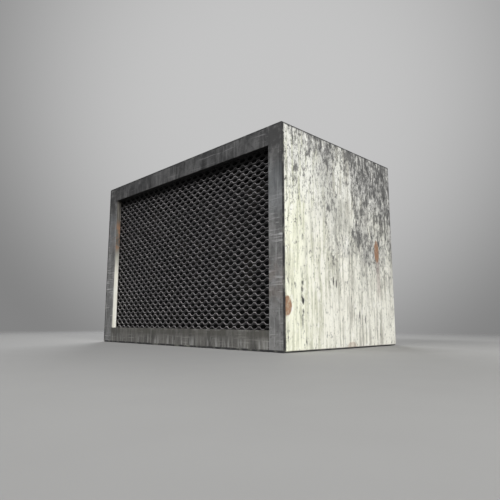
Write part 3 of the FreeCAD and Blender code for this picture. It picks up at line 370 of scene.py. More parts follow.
def frame_paint(name, low_tone, high_tone, shift, worn_edge=None, stain=0.0):
    """Duller bare steel of the front frame, mottled, scratched and smeared.

    worn_edge is the height of a rubbed edge in metres, and stain that of a band of oily dirt in
    heights of the casing, with bright marks below it.
    """
    paint = Paint(name, metallic=0.2)
    mottle = paint.noise(70, detail=10, rough=0.74, warp=0.4, shift=shift)
    smear = paint.noise(1, stretch=(110, 110, 22), detail=6, rough=0.66, shift=shift + 1)
    fine = paint.noise(430, detail=5, rough=0.68, shift=shift + 2)
    scratch = paint.noise(1, stretch=(38, 60, 620), detail=4, rough=0.6, shift=shift + 3)
    up_scratch = paint.noise(1, stretch=(560, 90, 20), detail=4, rough=0.6, shift=shift + 5)
    broad = paint.noise(15, detail=3, shift=shift + 4)
    up = in_heights(paint, paint.z, CASE_LOW.z)
    dark = tuple(tone * 0.4 for tone in low_tone)
    bright = tuple(min(tone * 1.7, 0.8) for tone in high_tone)
    colour = paint.mix(paint.level(paint.math("ADD", paint.both(mottle, 0.7), paint.both(broad, 0.45)),
                                   0.46, 0.68), low_tone, high_tone)
    colour = paint.mix(paint.both(paint.level(smear, 0.5, 0.62), 0.6), colour, dark)
    colour = paint.mix(paint.both(paint.level(fine, 0.55, 0.66), 0.6), colour, dark)
    colour = paint.mix(paint.both(paint.level(scratch, 0.57, 0.68), 0.6), colour, bright)
    if stain:
        marks = paint.noise(1, stretch=(330, 60, 26), detail=5, rough=0.66, shift=shift + 6)
        marks = paint.both(paint.level(marks, 0.50, 0.62), paint.level(up, 0.02, 0.07, 1, 0))
        colour = paint.mix(paint.both(marks, 0.75), colour, (0.40, 0.40, 0.39))
    colour = paint.mix(paint.both(paint.level(up_scratch, 0.56, 0.68), 0.5), colour, bright)
    if stain:
        band = paint.near(paint.z, CASE_LOW.z + stain * HEIGHT, 0.03 * HEIGHT)
        runs = paint.level(paint.noise(1, stretch=(170, 170, 12), detail=5, shift=shift), 0.34, 0.58)
        colour = paint.mix(paint.both(paint.both(band, runs), 0.75), colour, (0.10, 0.097, 0.086))
    if worn_edge:
        rubbed = paint.level(paint.noise(110, detail=6, rough=0.75, shift=shift), 0.50, 0.62)
        rubbed = paint.both(paint.near(paint.z, worn_edge, 1.6 * MM), rubbed)
        colour = paint.mix(paint.both(rubbed, 0.45), colour, (0.40, 0.40, 0.385))
    # Painted shade: faces set back from the front, in the upper half, are painted near black for the shade
    # under the top rail's lip.
    painted_lip_shade = paint.both(paint.level(paint.y, CASE_LOW.y + 0.4 * MM, CASE_LOW.y + 1.2 * MM),
                           paint.level(up, 0.5, 0.8))
    colour = paint.mix(painted_lip_shade, colour, (0.008, 0.008, 0.008))
    edge = paint.level(paint.noise(240, detail=4, shift=shift + 8), 0.3, 0.6, 0.3, 0.95)
    sides = paint.level(paint.math("ABSOLUTE", paint.x), CASE_HIGH.x - 2.4 * MM, CASE_HIGH.x - 1.4 * MM)
    off_middle = paint.math("ABSOLUTE", paint.math("SUBTRACT", paint.z, (CASE_LOW.z + CASE_HIGH.z) / 2))
    ends = paint.level(off_middle, HEIGHT / 2 - 1.6 * MM, HEIGHT / 2 - 0.8 * MM)
    outline = paint.math("MAXIMUM", sides, ends)
    paint.base(paint.mix(paint.both(outline, edge), colour, SOOT))
    paint.set("Roughness", paint.level(mottle, 0.3, 0.7, 0.45, 0.66))
    paint.relief(paint.math("ADD", paint.both(mottle, 0.6), paint.both(fine, 0.4)), 0.2 * MM, 0.5)
    return paint


def stile_paint(name, shift, rust_height):
    """A stile of the front frame: sooty at the top, scratched across its middle.

    Its inner lip is bare and bright low down and darker higher up, that darkening painted shade under the top
    rail, with rust at a height in heights of the casing.
    """
    paint = frame_paint(name, (0.17, 0.17, 0.17), (0.30, 0.30, 0.30), shift)
    colour = paint.surface.inputs["Base Color"].links[0].from_socket
    up = in_heights(paint, paint.z, CASE_LOW.z)
    sooty = paint.level(paint.noise(60, detail=7, rough=0.7, shift=shift + 9), 0.3, 0.58)
    sooty = paint.both(paint.level(up, 0.62, 0.92), sooty)
    colour = paint.mix(paint.both(sooty, 0.9), colour, (0.045, 0.045, 0.046))
    bars = paint.noise(1, stretch=(30, 30, 520), detail=5, rough=0.62, shift=shift + 11)
    scraped = paint.level(paint.noise(55, detail=3, shift=shift + 12), 0.42, 0.58)
    bars = paint.both(paint.level(bars, 0.52, 0.64), paint.both(paint.near(up, 0.47, 0.3), scraped))
    colour = paint.mix(paint.both(bars, 0.8), colour, (0.68, 0.68, 0.69))
    bluish = paint.near(up, 0.70, 0.16)
    colour = paint.mix(paint.both(bluish, 0.35), colour, (0.13, 0.15, 0.17))
    lip = paint.level(paint.y, CASE_LOW.y + 0.8 * MM, CASE_LOW.y + 1.6 * MM)
    grain = paint.noise(1, stretch=(300, 300, 30), detail=5, rough=0.65, shift=shift)
    pale = paint.mix(paint.level(grain, 0.4, 0.6), (0.88, 0.87, 0.78), (0.98, 0.97, 0.92))
    # Painted shade: the lip is painted dark towards the top for the shadow of the top rail's lip.
    dull = paint.mix(paint.level(grain, 0.4, 0.6), (0.06, 0.055, 0.05), (0.17, 0.16, 0.14))
    pale = paint.mix(paint.level(paint.math("ADD", up, paint.both(grain, 0.3)), 0.50, 0.80), pale, dull)
    colour = paint.mix(lip, colour, pale)
    rusty = paint.both(paint.near(up, rust_height, 0.13),
                       paint.level(paint.noise(120, detail=6, shift=shift + 7), 0.40, 0.6))
    tint = paint.both(rusty, paint.level(lip, 0, 1, 0.12, 0.9))
    paint.base(rust_over(paint, colour, tint))
    return paint


def grille_paint():
    """Dark steel of the expanded metal: forward edges rubbed bright and partly painted as a highlight, with a
    painted shadow under the top rail.
    """
    paint = Paint("expanded_metal", metallic=0.4)
    wear_and_highlight = paint.tree.nodes.new("ShaderNodeAttribute")
    wear_and_highlight.attribute_name = "wear_and_highlight"
    patch = paint.noise(30, detail=5, rough=0.6, shift=2)
    grain = paint.noise(900, detail=4, rough=0.6)
    colour = paint.mix(paint.level(patch, 0.35, 0.65), (0.010, 0.010, 0.011), (0.024, 0.023, 0.025))
    # Painted highlight, in part: the rubbed forward edges are painted far paler than the faces, standing in
    # for the light they catch.
    rubbed = paint.level(paint.noise(170, detail=5, rough=0.6, shift=6), 0.3, 0.68, 0.25, 1.0)
    rim = paint.both(paint.both(wear_and_highlight.outputs["Fac"], rubbed), paint.level(grain, 0.3, 0.6, 0.6, 1.0))
    colour = paint.mix(rim, colour, (0.74, 0.71, 0.73))
    colour = paint.mix(paint.both(paint.level(grain, 0.58, 0.7), 0.6), colour, (0.02, 0.02, 0.02))
    # Painted shadow: strands just below the top rail are painted near black for the shadow of the rail's lip.
    under_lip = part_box("frame_top_rail")[0].z
    shade = paint.level(paint.z, under_lip - 8.5 * MM, under_lip - 4.5 * MM)
    paint.base(paint.mix(paint.both(shade, 0.92), colour, (0.004, 0.004, 0.004)))
    paint.set("Roughness", paint.level(grain, 0.3, 0.7, 0.42, 0.62))
    paint.relief(grain, 0.08 * MM, 0.5)
    return paint


def black_paint():
    """Matt black paint, dusty and chipped."""
    paint = Paint("black_paint")
    dust = paint.noise(60, detail=7, rough=0.65)
    orange_peel = paint.noise(900, detail=2)
    colour = paint.mix(paint.level(dust, 0.45, 0.75), (0.006, 0.006, 0.0065), (0.022, 0.021, 0.019))
    chips = paint.level(paint.noise(210, detail=6, rough=0.7, shift=4), 0.72, 0.75)
    paint.base(paint.mix(paint.both(chips, 0.7), colour, (0.30, 0.29, 0.27)))
    paint.set("Roughness", paint.level(dust, 0.3, 0.7, 0.6, 0.8))
    paint.set("Specular IOR Level", 0.12)
    paint.relief(orange_peel, 0.05 * MM, 0.5)
    return paint


def metal_paint(name, low_tone, high_tone, metallic=0.85, roughness=(0.28, 0.5)):
    """Plated or bare metal with stains and fine marks."""
    paint = Paint(name, metallic=metallic)
    stain = paint.noise(85, detail=6, rough=0.62)
    mark = paint.noise(700, detail=4, rough=0.6, shift=3)
    colour = paint.mix(paint.level(stain, 0.35, 0.7), low_tone, high_tone)
    colour = paint.mix(paint.both(paint.level(mark, 0.62, 0.75), 0.5), colour,
                       tuple(tone * 0.45 for tone in low_tone))
    paint.base(colour)
    paint.set("Roughness", paint.level(stain, 0.3, 0.7, roughness[1], roughness[0]))
    paint.relief(mark, 0.04 * MM, 0.5)
    return paint


def rubber_paint():
    """Black rubber, dusty, with a faint grain."""
    paint = Paint("rubber")
    dust = paint.noise(140, detail=5, rough=0.6)
    paint.base(paint.mix(paint.level(dust, 0.45, 0.75), (0.014, 0.014, 0.014), (0.055, 0.053, 0.05)))
    paint.set("Roughness", paint.level(dust, 0.3, 0.7, 0.55, 0.8))
    paint.relief(paint.noise(1500, detail=2), 0.05 * MM, 0.6)
    return paint


def foam_paint():
    """Open-cell foam: dark walls round small round pores, the pores painted darker still as painted shade."""
    paint = Paint("open_cell_foam")
    pore_shade_and_depth = paint.level(paint.cells(620), 0.12, 0.5)
    dust = paint.noise(40, detail=5, rough=0.6)
    # Painted shade: the centres of the pores are painted darker than the walls for the shade inside the open
    # cells.
    colour = paint.mix(pore_shade_and_depth, (0.0012, 0.0012, 0.0013), (0.015, 0.015, 0.016))
    paint.base(paint.mix(paint.both(paint.level(dust, 0.5, 0.7), 0.5), colour, (0.036, 0.033, 0.028)))
    paint.set("Roughness", 0.95)
    paint.set("Specular IOR Level", 0.08)
    paint.relief(pore_shade_and_depth, 0.5 * MM, 0.9)
    return paint


def paper_paint():
    """Resin-treated filter paper, dirtier on the side that the air comes from."""
    paint = Paint("filter_paper")
    low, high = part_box("pleated_media")
    fibre = paint.noise(1, stretch=(2200, 2200, 500), detail=4, rough=0.6)
    cloud = paint.noise(70, detail=5, rough=0.6)
    colour = paint.mix(paint.level(cloud, 0.3, 0.7), (0.55, 0.40, 0.17), (0.70, 0.55, 0.28))
    dirty = paint.level(paint.y, low.y, low.y + 0.35 * (high.y - low.y), 0.75, 0)
    paint.base(paint.mix(paint.both(dirty, paint.level(cloud, 0.2, 0.6)), colour, (0.10, 0.08, 0.06)))
    paint.set("Roughness", 0.85)
    paint.relief(fibre, 0.1 * MM, 0.6)
    return paint


def moulding_paint():
    """Moulded polyurethane of the element's frame."""
    paint = Paint("moulded_frame")
    cloud = paint.noise(55, detail=5, rough=0.6)
    pits = paint.level(paint.cells(420), 0.05, 0.22)
    paint.base(paint.mix(paint.level(cloud, 0.3, 0.7), (0.36, 0.11, 0.025), (0.50, 0.18, 0.045)))
    paint.set("Roughness", paint.level(cloud, 0.3, 0.7, 0.42, 0.58))
    paint.relief(pits, 0.15 * MM, 0.5)
    return paint


# --- mesh helpers ----------------------------------------------------------------------------

def mesh_object(name, mesh, place=(0, 0, 0)):
    """An object from a bmesh, in the row's frame."""
    data = bpy.data.meshes.new(name)
    bmesh.ops.recalc_face_normals(mesh, faces=mesh.faces)
    mesh.to_mesh(data)
    mesh.free()
    item = bpy.data.objects.new(name, data)
    bpy.context.collection.objects.link(item)
    item.location = place
    return item


def smooth(item, angle=35):
    """Shade smooth, except over edges sharper than an angle in degrees."""
    data = item.data
    data.polygons.foreach_set("use_smooth", [True] * len(data.polygons))
    mesh = bmesh.new()
    mesh.from_mesh(data)
    for edge in mesh.edges:
        if len(edge.link_faces) == 2:
            edge.smooth = edge.calc_face_angle(0) < math.radians(angle)
    mesh.to_mesh(data)
    mesh.free()


def soften(item, width):
    """Small round edges by a modifier."""
    bevel = item.modifiers.new("soft_edges", "BEVEL")
    bevel.width = width
    bevel.segments = 3
    bevel.limit_method = "ANGLE"
    bevel.angle_limit = math.radians(40)


def rings_between(mesh, rings, caps=True):
    """Faces between rings of vertices, and over the first and the last."""
    for one, two in zip(rings, rings[1:]):
        count = len(one)
        for index in range(count):
            after = (index + 1) % count
            mesh.faces.new((one[index], one[after], two[after], two[index]))
    if caps:
        mesh.faces.new(rings[0])
        mesh.faces.new(rings[-1][::-1])


def lathe(mesh, centre, axis, profile, segments=48):
    """Rings of vertices: (along, radius) points turned about a line along x, y or z."""
    rings = []
    for along, radius in profile:
        ring = []
        for step in range(segments):
            turn = 2 * math.pi * step / segments
            across, up = radius * math.cos(turn), radius * math.sin(turn)
            offset = {"x": (along, across, up), "y": (across, along, up), "z": (across, up, along)}[axis]
            ring.append(mesh.verts.new(Vector(centre) + Vector(offset)))
        rings.append(ring)
    return rings


def islands(node):
    """The boxes of a CAD node's separate solids, as (low, high) pairs."""
    mesh = bmesh.new()
    mesh.from_mesh(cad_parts[node].data)
    bmesh.ops.remove_doubles(mesh, verts=mesh.verts, dist=1e-6)
    todo = set(mesh.verts)
    boxes = []
    while todo:
        stack = [todo.pop()]
        found = list(stack)
        while stack:
            for edge in stack.pop().link_edges:
                for vertex in edge.verts:
                    if vertex in todo:
                        todo.remove(vertex)
                        stack.append(vertex)
                        found.append(vertex)
        boxes.append((Vector([min(v.co[axis] for v in found) for axis in range(3)]),
                      Vector([max(v.co[axis] for v in found) for axis in range(3)])))
    mesh.free()
    return sorted(boxes, key=lambda pair: tuple(pair[0]))


def stand_in(item, body, slot, *nodes):
    """Put a finished piece on its body, in place of its CAD nodes."""
    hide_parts(*nodes)
    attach(item, body)


# --- grille ----------------------------------------------------------------------------------

MESH_LONG = 10 * MM
MESH_SHORT = 8 * MM
MESH_START_X = -1.3 * MM
MESH_START_Z = 1.3 * MM
MESH_BOND = 1.1 * MM           # half the length of a bond between two strands
STRAND = 2.1 * MM              # width of a strand, and half the height of a bond
TILT = math.radians(13)
GRILLE_RIM = 2.2 * MM          # how far the strands stop short of the panel's edges


def strand_profile():
    """Section of a strand in (y, z): a tilted strip, its upper edge forward, its corners cut.

    Each corner comes with a share of rubbed brightness and painted highlight, from 0 on the face to 1 on the
    rubbed forward edge.
    """
    half_wide = STRAND / 2 / math.cos(TILT) * 1.03
    half_thick = 0.32 * MM
    cut = 0.12 * MM
    along = Vector((-math.sin(TILT), math.cos(TILT)))
    out = Vector((-math.cos(TILT), -math.sin(TILT)))
    rim = 0.42 * MM
    corners = [
        (half_wide - rim, half_thick, 0.05), (half_wide - rim * 0.8, half_thick, 0.8),
        (half_wide - cut, half_thick, 1.0), (half_wide, half_thick - cut, 1.0),
        (half_wide, cut - half_thick, 0.6), (half_wide - cut, -half_thick, 0.2),
        (-half_wide, -half_thick, 0.0), (-half_wide, half_thick, 0.05),
    ]
    return [(along * u + out * v, edge_wear_and_highlight) for u, v, edge_wear_and_highlight in corners]


def strand_path(start, low_x, high_x, middle_y):
    """Centre line of one strand as (x, y, z, share of its width): it waves between the bonds.

    start is the height of the row of openings below it and the X of one of their bonds.
    """
    row_z, bond_x = start
    ramp = MESH_LONG / 2 - 2 * MESH_BOND
    low_z, high_z = row_z + STRAND / 2, row_z + MESH_SHORT / 2 - STRAND / 2
    sway = STRAND / 2 * math.tan(TILT) * 0.5
    steps = (0, 0.14, 0.5, 0.86, 1)
    points = []
    first = int((low_x - bond_x) / MESH_LONG) - 2
    last = int((high_x - bond_x) / MESH_LONG) + 2
    for pitch in range(first, last):
        centre = bond_x + pitch * MESH_LONG
        for falling, begin in ((False, centre + MESH_BOND), (True, centre + MESH_LONG / 2 + MESH_BOND)):
            for share in steps:
                rise = 3 * share ** 2 - 2 * share ** 3
                rise = 0.6 * rise + 0.4 * share
                rise = 1 - rise if falling else rise
                narrow = 1 - 0.24 * math.sin(math.pi * share)
                points.append((begin + ramp * share, middle_y + sway * (2 * rise - 1),
                               low_z + (high_z - low_z) * rise, narrow))
    return [point for point in points if low_x <= point[0] <= high_x]


def make_grille():
    """Raised expanded metal: one strand between each two rows of openings, in a flat rim."""
    low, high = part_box("grille")
    rim, border_z, border_x = GRILLE_RIM, GRILLE_RIM * 1.6, GRILLE_RIM * 1.2
    open_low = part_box("frame_bottom_rail")[1].z
    mesh = bmesh.new()
    # The layer carries how rubbed bright each point is, which the material also uses as a painted highlight
    # on the forward edges.
    wear_and_highlight_layer = mesh.verts.layers.float.new("wear_and_highlight")
    profile = strand_profile()
    middle_y = (low.y + high.y) / 2
    rows = int((high.z - low.z) / (MESH_SHORT / 2)) + 2
    for row in range(-3, rows):
        row_z = open_low - MESH_START_Z + row * MESH_SHORT / 2
        if row_z + 0.1 * MESH_SHORT < low.z + rim or row_z + 0.4 * MESH_SHORT > high.z - rim:
            continue
        bond_x = MESH_START_X + MESH_LONG / 2 + (MESH_LONG / 2 if row % 2 else 0)
        rings = []
        for x, y, z, narrow in strand_path((row_z, bond_x), low.x + rim, high.x - rim, middle_y):
            ring = []
            for corner, edge_wear_and_highlight in profile:
                vertex = mesh.verts.new((x, y + corner[0] * narrow, z + corner[1] * narrow))
                vertex[wear_and_highlight_layer] = edge_wear_and_highlight
                ring.append(vertex)
            rings.append(ring)
        rings_between(mesh, rings)
    between = (low.z + border_z, high.z - border_z)
    for x_span, z_span in (((low.x, high.x), (low.z, low.z + border_z)),
                           ((low.x, high.x), (high.z - border_z, high.z)),
                           ((low.x, low.x + border_x), between),
                           ((high.x - border_x, high.x), between)):
        add_box(mesh, (x_span[0], low.y, z_span[0]), (x_span[1], high.y, z_span[1]))
    item = mesh_object("expanded_metal", mesh)
    grille_paint().dress(item)
    stand_in(item, "housing", "grille_steel", "grille")


def add_box(mesh, low, high):
    """A box between two corners."""
    corners = [mesh.verts.new((x, y, z)) for x in (low[0], high[0]) for y in (low[1], high[1])
               for z in (low[2], high[2])]
    for face in ((0, 1, 3, 2), (4, 6, 7, 5), (0, 4, 5, 1), (2, 3, 7, 6), (0, 2, 6, 4), (1, 5, 7, 3)):
        mesh.faces.new([corners[index] for index in face])


# --- soft and turned pieces ------------------------------------------------------------------

def rounded_outline(low, high, radius, steps=6):
    """Points (x, z) round a rectangle with rounded corners, anticlockwise."""
    points = []
    for x, z, start in ((high[0] - radius, low[1] + radius, -90), (high[0] - radius, high[1] - radius, 0),
                        (low[0] + radius, high[1] - radius, 90), (low[0] + radius, low[1] + radius, 180)):
        for step in range(steps + 1):
            turn = math.radians(start + 90 * step / steps)
            points.append((x + radius * math.cos(turn), z + radius * math.sin(turn)))
    return points


def make_foam():
    """Foam pad: crowned on both faces, pinched along its cut edges."""
    low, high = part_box("prefilter_foam")
    thick = high.y - low.y
    crown = ((34, 0.0), (20, 0.12), (11, 0.4), (6, 0.85), (3, 1.45), (1.2, 2.3), (0.3, 3.4), (0.1, 4.6))
    layers = [(inset * MM, drop * MM) for inset, drop in crown]
    layers += [(inset, thick - drop) for inset, drop in reversed(layers)]
    mesh = bmesh.new()
    rings = []
    for inset, forward in layers:
        outline = rounded_outline((low.x + inset, low.z + inset), (high.x - inset, high.z - inset),
                                  3 * MM + inset * 0.4)
        rings.append([mesh.verts.new((x, low.y + forward, z)) for x, z in outline])
    rings_between(mesh, rings)
    item = mesh_object("foam_pad", mesh)
    smooth(item, 60)
    foam_paint().dress(item)
    stand_in(item, "drawer", "foam", "prefilter_foam")


def pleat_line(start, end, near, far, pitch):
    """Centre line (x, y) of the folded paper: slanting walls joined by round folds."""
    count = round((end - start) / pitch)
    spread = (end - start) / count
    fold = 0.9 * MM
    points = []
    for pleat in range(count):
        middle = start + (pleat + 0.5) * spread
        for at_x, at_y, side in ((middle - spread / 4, near, 1), (middle + spread / 4, far, -1)):
            for step in range(7):
                turn = math.pi * step / 6
                points.append((at_x - fold * math.cos(turn), at_y + side * fold * (1 - math.sin(turn))))
    return points


def make_pleats():
    """Pleated paper, its folds upright."""
    low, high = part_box("pleated_media")
    half = 0.3 * MM
    line = pleat_line(low.x, high.x, low.y + half, high.y - half, 5 * MM)
    mesh = bmesh.new()
    rings = []
    for index, point in enumerate(line):
        before, after = line[max(index - 1, 0)], line[min(index + 1, len(line) - 1)]
        along = Vector((after[0] - before[0], after[1] - before[1])).normalized()
        across = Vector((-along.y, along.x)) * half
        rings.append([mesh.verts.new((point[0] + across.x * side, point[1] + across.y * side, z))
                      for side, z in ((1, low.z), (1, high.z), (-1, high.z), (-1, low.z))])
    rings_between(mesh, rings)
    item = mesh_object("pleated_paper", mesh)
    smooth(item, 50)
    paper_paint().dress(item)
    stand_in(item, "drawer", "filter_paper", "pleated_media")


THREAD_PITCH = 0.8 * MM


def add_hex_screw(mesh, low, high):
    """A hexagon screw along Y with its washer, threaded shank and chamfered head, in a box."""
    centre = ((low.x + high.x) / 2, 0, (low.z + high.z) / 2)
    across, shank, head_high, washer_thick, round_off = 4 * MM, 2.5 * MM, 3.5 * MM, 1 * MM, 0.15 * MM
    head, seat, reach = high.y, high.y - head_high, low.y
    under = seat - washer_thick
    washer, hole = (high.z - low.z) / 2, shank - 0.1 * MM
    rings_between(mesh, lathe(mesh, centre, "y", (
        (under, hole), (under, washer - round_off), (under + round_off, washer),
        (seat - round_off, washer), (seat, washer - round_off), (seat, hole))))
    rings = []
    for name in ("seat", "side", "top"):
        ring = []
        for step in range(48):
            turn = math.radians(7.5 * step)
            flat = across / math.cos((turn + math.pi / 6) % (math.pi / 3) - math.pi / 6)
            radius = across * 0.94 if name == "top" else flat
            along = {"seat": seat, "side": head - 0.577 * max(flat - across * 0.96, 0), "top": head}[name]
            ring.append(mesh.verts.new((centre[0] + radius * math.cos(turn), along,
                                        centre[2] + radius * math.sin(turn))))
        rings.append(ring)
    rings_between(mesh, rings)
    profile = [(reach, shank * 0.7), (reach + 0.6 * MM, shank * 0.98)]
    along = reach + THREAD_PITCH
    while along < seat - 1.2 * MM:
        profile += [(along, shank * 0.9), (along + THREAD_PITCH / 2, shank)]
        along += THREAD_PITCH
    rings_between(mesh, lathe(mesh, centre, "y", profile + [(seat - 0.9 * MM, shank)], 24))


def add_rivet(mesh, low, high):
    """A domed rivet along X in a box: round head at low x, upset tail at high x."""
    centre = (0, (low.y + high.y) / 2, (low.z + high.z) / 2)
    head, dome = (high.z - low.z) / 2, 1.5 * MM
    shank, tail, tail_thick, chamfer = 2 * MM, 2.7 * MM, 1 * MM, 0.3 * MM
    profile = [(low.x + dome * (1 - math.cos(turn)), head * math.sin(turn))
               for turn in (math.radians(step) for step in (8, 25, 42, 58, 74, 90))]
    profile += [(low.x + dome + 0.05 * MM, shank), (high.x - tail_thick, shank),
                (high.x - tail_thick, tail), (high.x - chamfer, tail), (high.x, tail - 0.5 * MM)]
    rings_between(mesh, lathe(mesh, centre, "x", profile, 32))


def make_set(name, node, body, slot, add, paint):
    """One piece with a finished part in place of every solid of a CAD node."""
    mesh = bmesh.new()
    for low, high in islands(node):
        add(mesh, low, high)
    item = mesh_object(name, mesh)
    smooth(item)
    paint.dress(item)
    stand_in(item, body, slot, node)


def make_thumbscrew(level, paint):
    """Knurled thumbscrew with a dished head, a collar and a threaded shank."""
    node = f"thumbscrew_{level}"
    low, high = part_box(node)
    clip_low, clip_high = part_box(f"{level}_retaining_clip")
    centre = (0, (low.y + high.y) / 2, (low.z + high.z) / 2)
    knob = (high.z - low.z) / 2
    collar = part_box("drawer_end_plate")[0].x - 0.2 * MM
    back = collar - 2 * MM
    shank, groove, collar_radius = 2.5 * MM, 2 * MM, 4.5 * MM
    profile = [(low.x + 0.9 * MM, 0.2 * MM), (low.x + 0.8 * MM, knob * 0.55), (low.x, knob * 0.68),
               (low.x, knob - 1.0 * MM), (low.x + 0.3 * MM, knob - 0.4 * MM), (low.x + 1.0 * MM, knob)]
    knurled = range(len(profile) - 1, len(profile) + 1)
    profile += [(back - 1.0 * MM, knob), (back - 0.3 * MM, knob - 0.4 * MM), (back, knob - 1.0 * MM),
                (back, collar_radius), (collar, collar_radius), (collar, shank), (clip_low.x, shank),
                (clip_low.x, groove), (clip_high.x, groove), (clip_high.x, shank)]
    along = clip_high.x + THREAD_PITCH / 2
    while along < high.x - 1.2 * MM:
        profile += [(along, shank), (along + THREAD_PITCH / 2, shank * 0.88)]
        along += THREAD_PITCH
    profile += [(high.x - 0.9 * MM, shank), (high.x, shank * 0.62)]
    mesh = bmesh.new()
    rings = lathe(mesh, centre, "x", profile, 72)
    knurl_depth = 0.055
    for index in knurled:
        for vertex in rings[index][::2]:
            vertex.co.y += (centre[1] - vertex.co.y) * knurl_depth
            vertex.co.z += (centre[2] - vertex.co.z) * knurl_depth
    rings_between(mesh, rings)
    item = mesh_object(f"knurled_screw_{level}", mesh)
    smooth(item, 28)
    paint.dress(item)
    stand_in(item, f"screw_{level}", "zinc", node)


def make_handle():
    """Bail handle of bent rod with chamfered ends."""
    low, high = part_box("pull_handle")
    rod = 3 * MM
    x, y = (low.x + high.x) / 2, (low.y + high.y) / 2
    top, grip = high.z - rod, low.z + rod
    half, bend = 24 * MM, 6 * MM
    path = [(low.y, top), (low.y + 0.5 * MM, top)]
    for at_y, at_z, first, last in ((-half - bend, top - bend, 90, 0), (-half + bend, grip + bend, 180, 270),
                                    (half - bend, grip + bend, 270, 360), (half + bend, top - bend, 180, 90)):
        for step in range(9):
            turn = math.radians(first + (last - first) * step / 8)
            path.append((y + at_y + bend * math.cos(turn), at_z + bend * math.sin(turn)))
    path += [(high.y - 0.5 * MM, top), (high.y, top)]
    mesh = bmesh.new()
    rings = []
    for index, (at_y, at_z) in enumerate(path):
        before, after = path[max(index - 1, 0)], path[min(index + 1, len(path) - 1)]
        along = Vector((0, after[0] - before[0], after[1] - before[1])).normalized()
        across = along.cross(Vector((1, 0, 0)))
        radius = rod * 0.86 if index in (0, len(path) - 1) else rod
        rings.append([mesh.verts.new(Vector((x, at_y, at_z)) + radius * (
            Vector((1, 0, 0)) * math.cos(turn) + across * math.sin(turn)))
            for turn in (math.radians(15 * step) for step in range(24))])
    rings_between(mesh, rings)
    item = mesh_object("bail_handle", mesh)
    smooth(item)
    metal_paint("worn_plate", (0.45, 0.44, 0.42), (0.70, 0.69, 0.67)).dress(item)
    stand_in(item, "handle", "handle_steel", "pull_handle")


def make_spigot():
    """Hose spigot: flat flange, filleted root, rounded mouth."""
    low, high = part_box("outlet_spigot")
    centre = ((low.x + high.x) / 2, 0, (low.z + high.z) / 2)
    flange = (high.x - low.x) / 2
    tube, bore, fillet = 30 * MM, 28.5 * MM, 1.2 * MM
    face = low.y + 2 * MM
    profile = [(low.y, bore), (low.y, flange - 0.3 * MM), (low.y + 0.3 * MM, flange),
               (face - 0.5 * MM, flange), (face - 0.15 * MM, flange - 0.15 * MM), (face, flange - 0.5 * MM)]
    profile += [(face + fillet * (1 - math.cos(turn)), tube + fillet * (1 - math.sin(turn)))
                for turn in (math.radians(step) for step in (0, 22, 45, 68, 90))]
    profile += [(high.y - 1.0 * MM, tube), (high.y - 0.2 * MM, tube - 0.4 * MM), (high.y, tube - 0.7 * MM),
                (high.y, bore + 0.3 * MM), (high.y - 0.3 * MM, bore)]
    mesh = bmesh.new()
    rings = lathe(mesh, centre, "y", profile, 128)
    rings_between(mesh, rings + rings[:1], caps=False)
    item = mesh_object("hose_spigot", mesh)
    smooth(item, 30)
    metal_paint("galvanised_tube", (0.38, 0.39, 0.37), (0.60, 0.61, 0.58), 0.6, (0.4, 0.6)).dress(item)
    stand_in(item, "housing", "spigot_steel", "outlet_spigot")


# --- everything ------------------------------------------------------------------------------

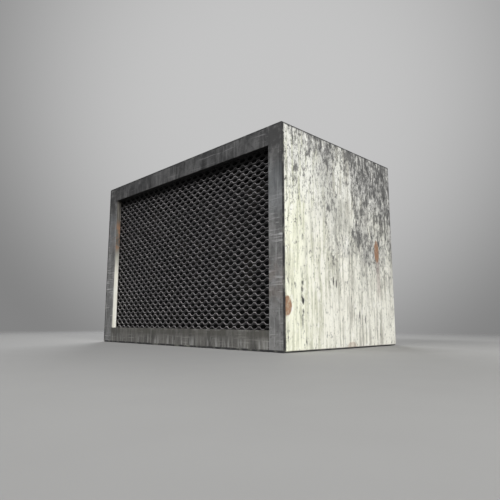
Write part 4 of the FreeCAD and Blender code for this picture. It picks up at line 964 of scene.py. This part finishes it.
def dress_cad_nodes():
    """Materials and soft edges of the CAD nodes that show as they are. The zinc is used again."""
    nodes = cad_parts
    casing_paint().dress(nodes["casing_wrapper"], nodes["rear_panel"], nodes["drawer_end_plate"])
    open_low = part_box("frame_bottom_rail")[1].z
    frame_paint("top_rail_steel", (0.05, 0.05, 0.052), (0.135, 0.135, 0.137), 11).dress(
        nodes["frame_top_rail"])
    frame_paint("bottom_rail_steel", (0.13, 0.127, 0.12), (0.21, 0.206, 0.193), 23, open_low, 0.077).dress(
        nodes["frame_bottom_rail"], nodes["frame_corner_straps"])
    stile_paint("left_stile_steel", 31, 0.67).dress(nodes["frame_left_stile"])
    stile_paint("right_stile_steel", 47, 0.3).dress(nodes["frame_right_stile"])
    black_paint().dress(*(nodes[name] for name in (
        "grille_retainer", "lower_runner", "upper_runner", "seal_partition", "tray_bottom_rail",
        "tray_top_rail", "tray_inner_post", "tray_outer_post")))
    rubber_paint().dress(*(nodes[name] for name in (
        "rear_gasket", "spigot_gasket", "drawer_gasket", "element_seal")))
    zinc = metal_paint("zinc_plate", (0.42, 0.41, 0.37), (0.66, 0.65, 0.60))
    zinc.dress(*(nodes[name] for name in (
        "thumbscrew_nuts", "base_rivet_nuts", "rear_nuts", "spigot_nuts")))
    metal_paint("spring_strip", (0.30, 0.30, 0.31), (0.45, 0.45, 0.46)).dress(*(nodes[name] for name in (
        "grille_clips", "element_clips", "upper_retaining_clip", "lower_retaining_clip")))
    metal_paint("galvanised", (0.38, 0.39, 0.37), (0.60, 0.61, 0.58), 0.6, (0.4, 0.6)).dress(
        nodes["handle_brackets"])
    moulding_paint().dress(nodes["element_frame"])
    for width, names in (
            (0.35, ("casing_wrapper", "rear_panel", "drawer_end_plate", "frame_top_rail",
                    "frame_bottom_rail", "frame_left_stile", "frame_right_stile", "lower_runner",
                    "upper_runner", "tray_bottom_rail", "tray_top_rail", "tray_inner_post",
                    "tray_outer_post", "handle_brackets", "thumbscrew_nuts", "rear_nuts")),
            (0.5, ("drawer_gasket", "rear_gasket")),
            (1.8, ("element_frame",)),
            (2.4, ("element_seal",))):
        for name in names:
            soften(nodes[name], width * MM)
    return zinc


def make_hardware(zinc):
    """Screws, rivets and thumbscrews."""
    make_set("cover_screws", "rear_screws", "housing", "zinc", add_hex_screw, zinc)
    make_set("spigot_flange_screws", "spigot_screws", "housing", "zinc", add_hex_screw, zinc)
    rivets = metal_paint("rivet_metal", (0.50, 0.51, 0.52), (0.68, 0.69, 0.70))
    make_set("cover_rivets", "end_plate_rivets", "drawer", "rivet_aluminium", add_rivet, rivets)
    make_set("handle_rivets", "bracket_rivets", "drawer", "rivet_aluminium", add_rivet, rivets)
    for level in ("upper", "lower"):
        make_thumbscrew(level, zinc)


make_camera()
make_lights()
make_world()
make_floor()
make_hardware(dress_cad_nodes())
make_grille()
make_foam()
make_pleats()
make_handle()
make_spigot()

bpy.context.scene.view_settings.view_transform = "Standard"
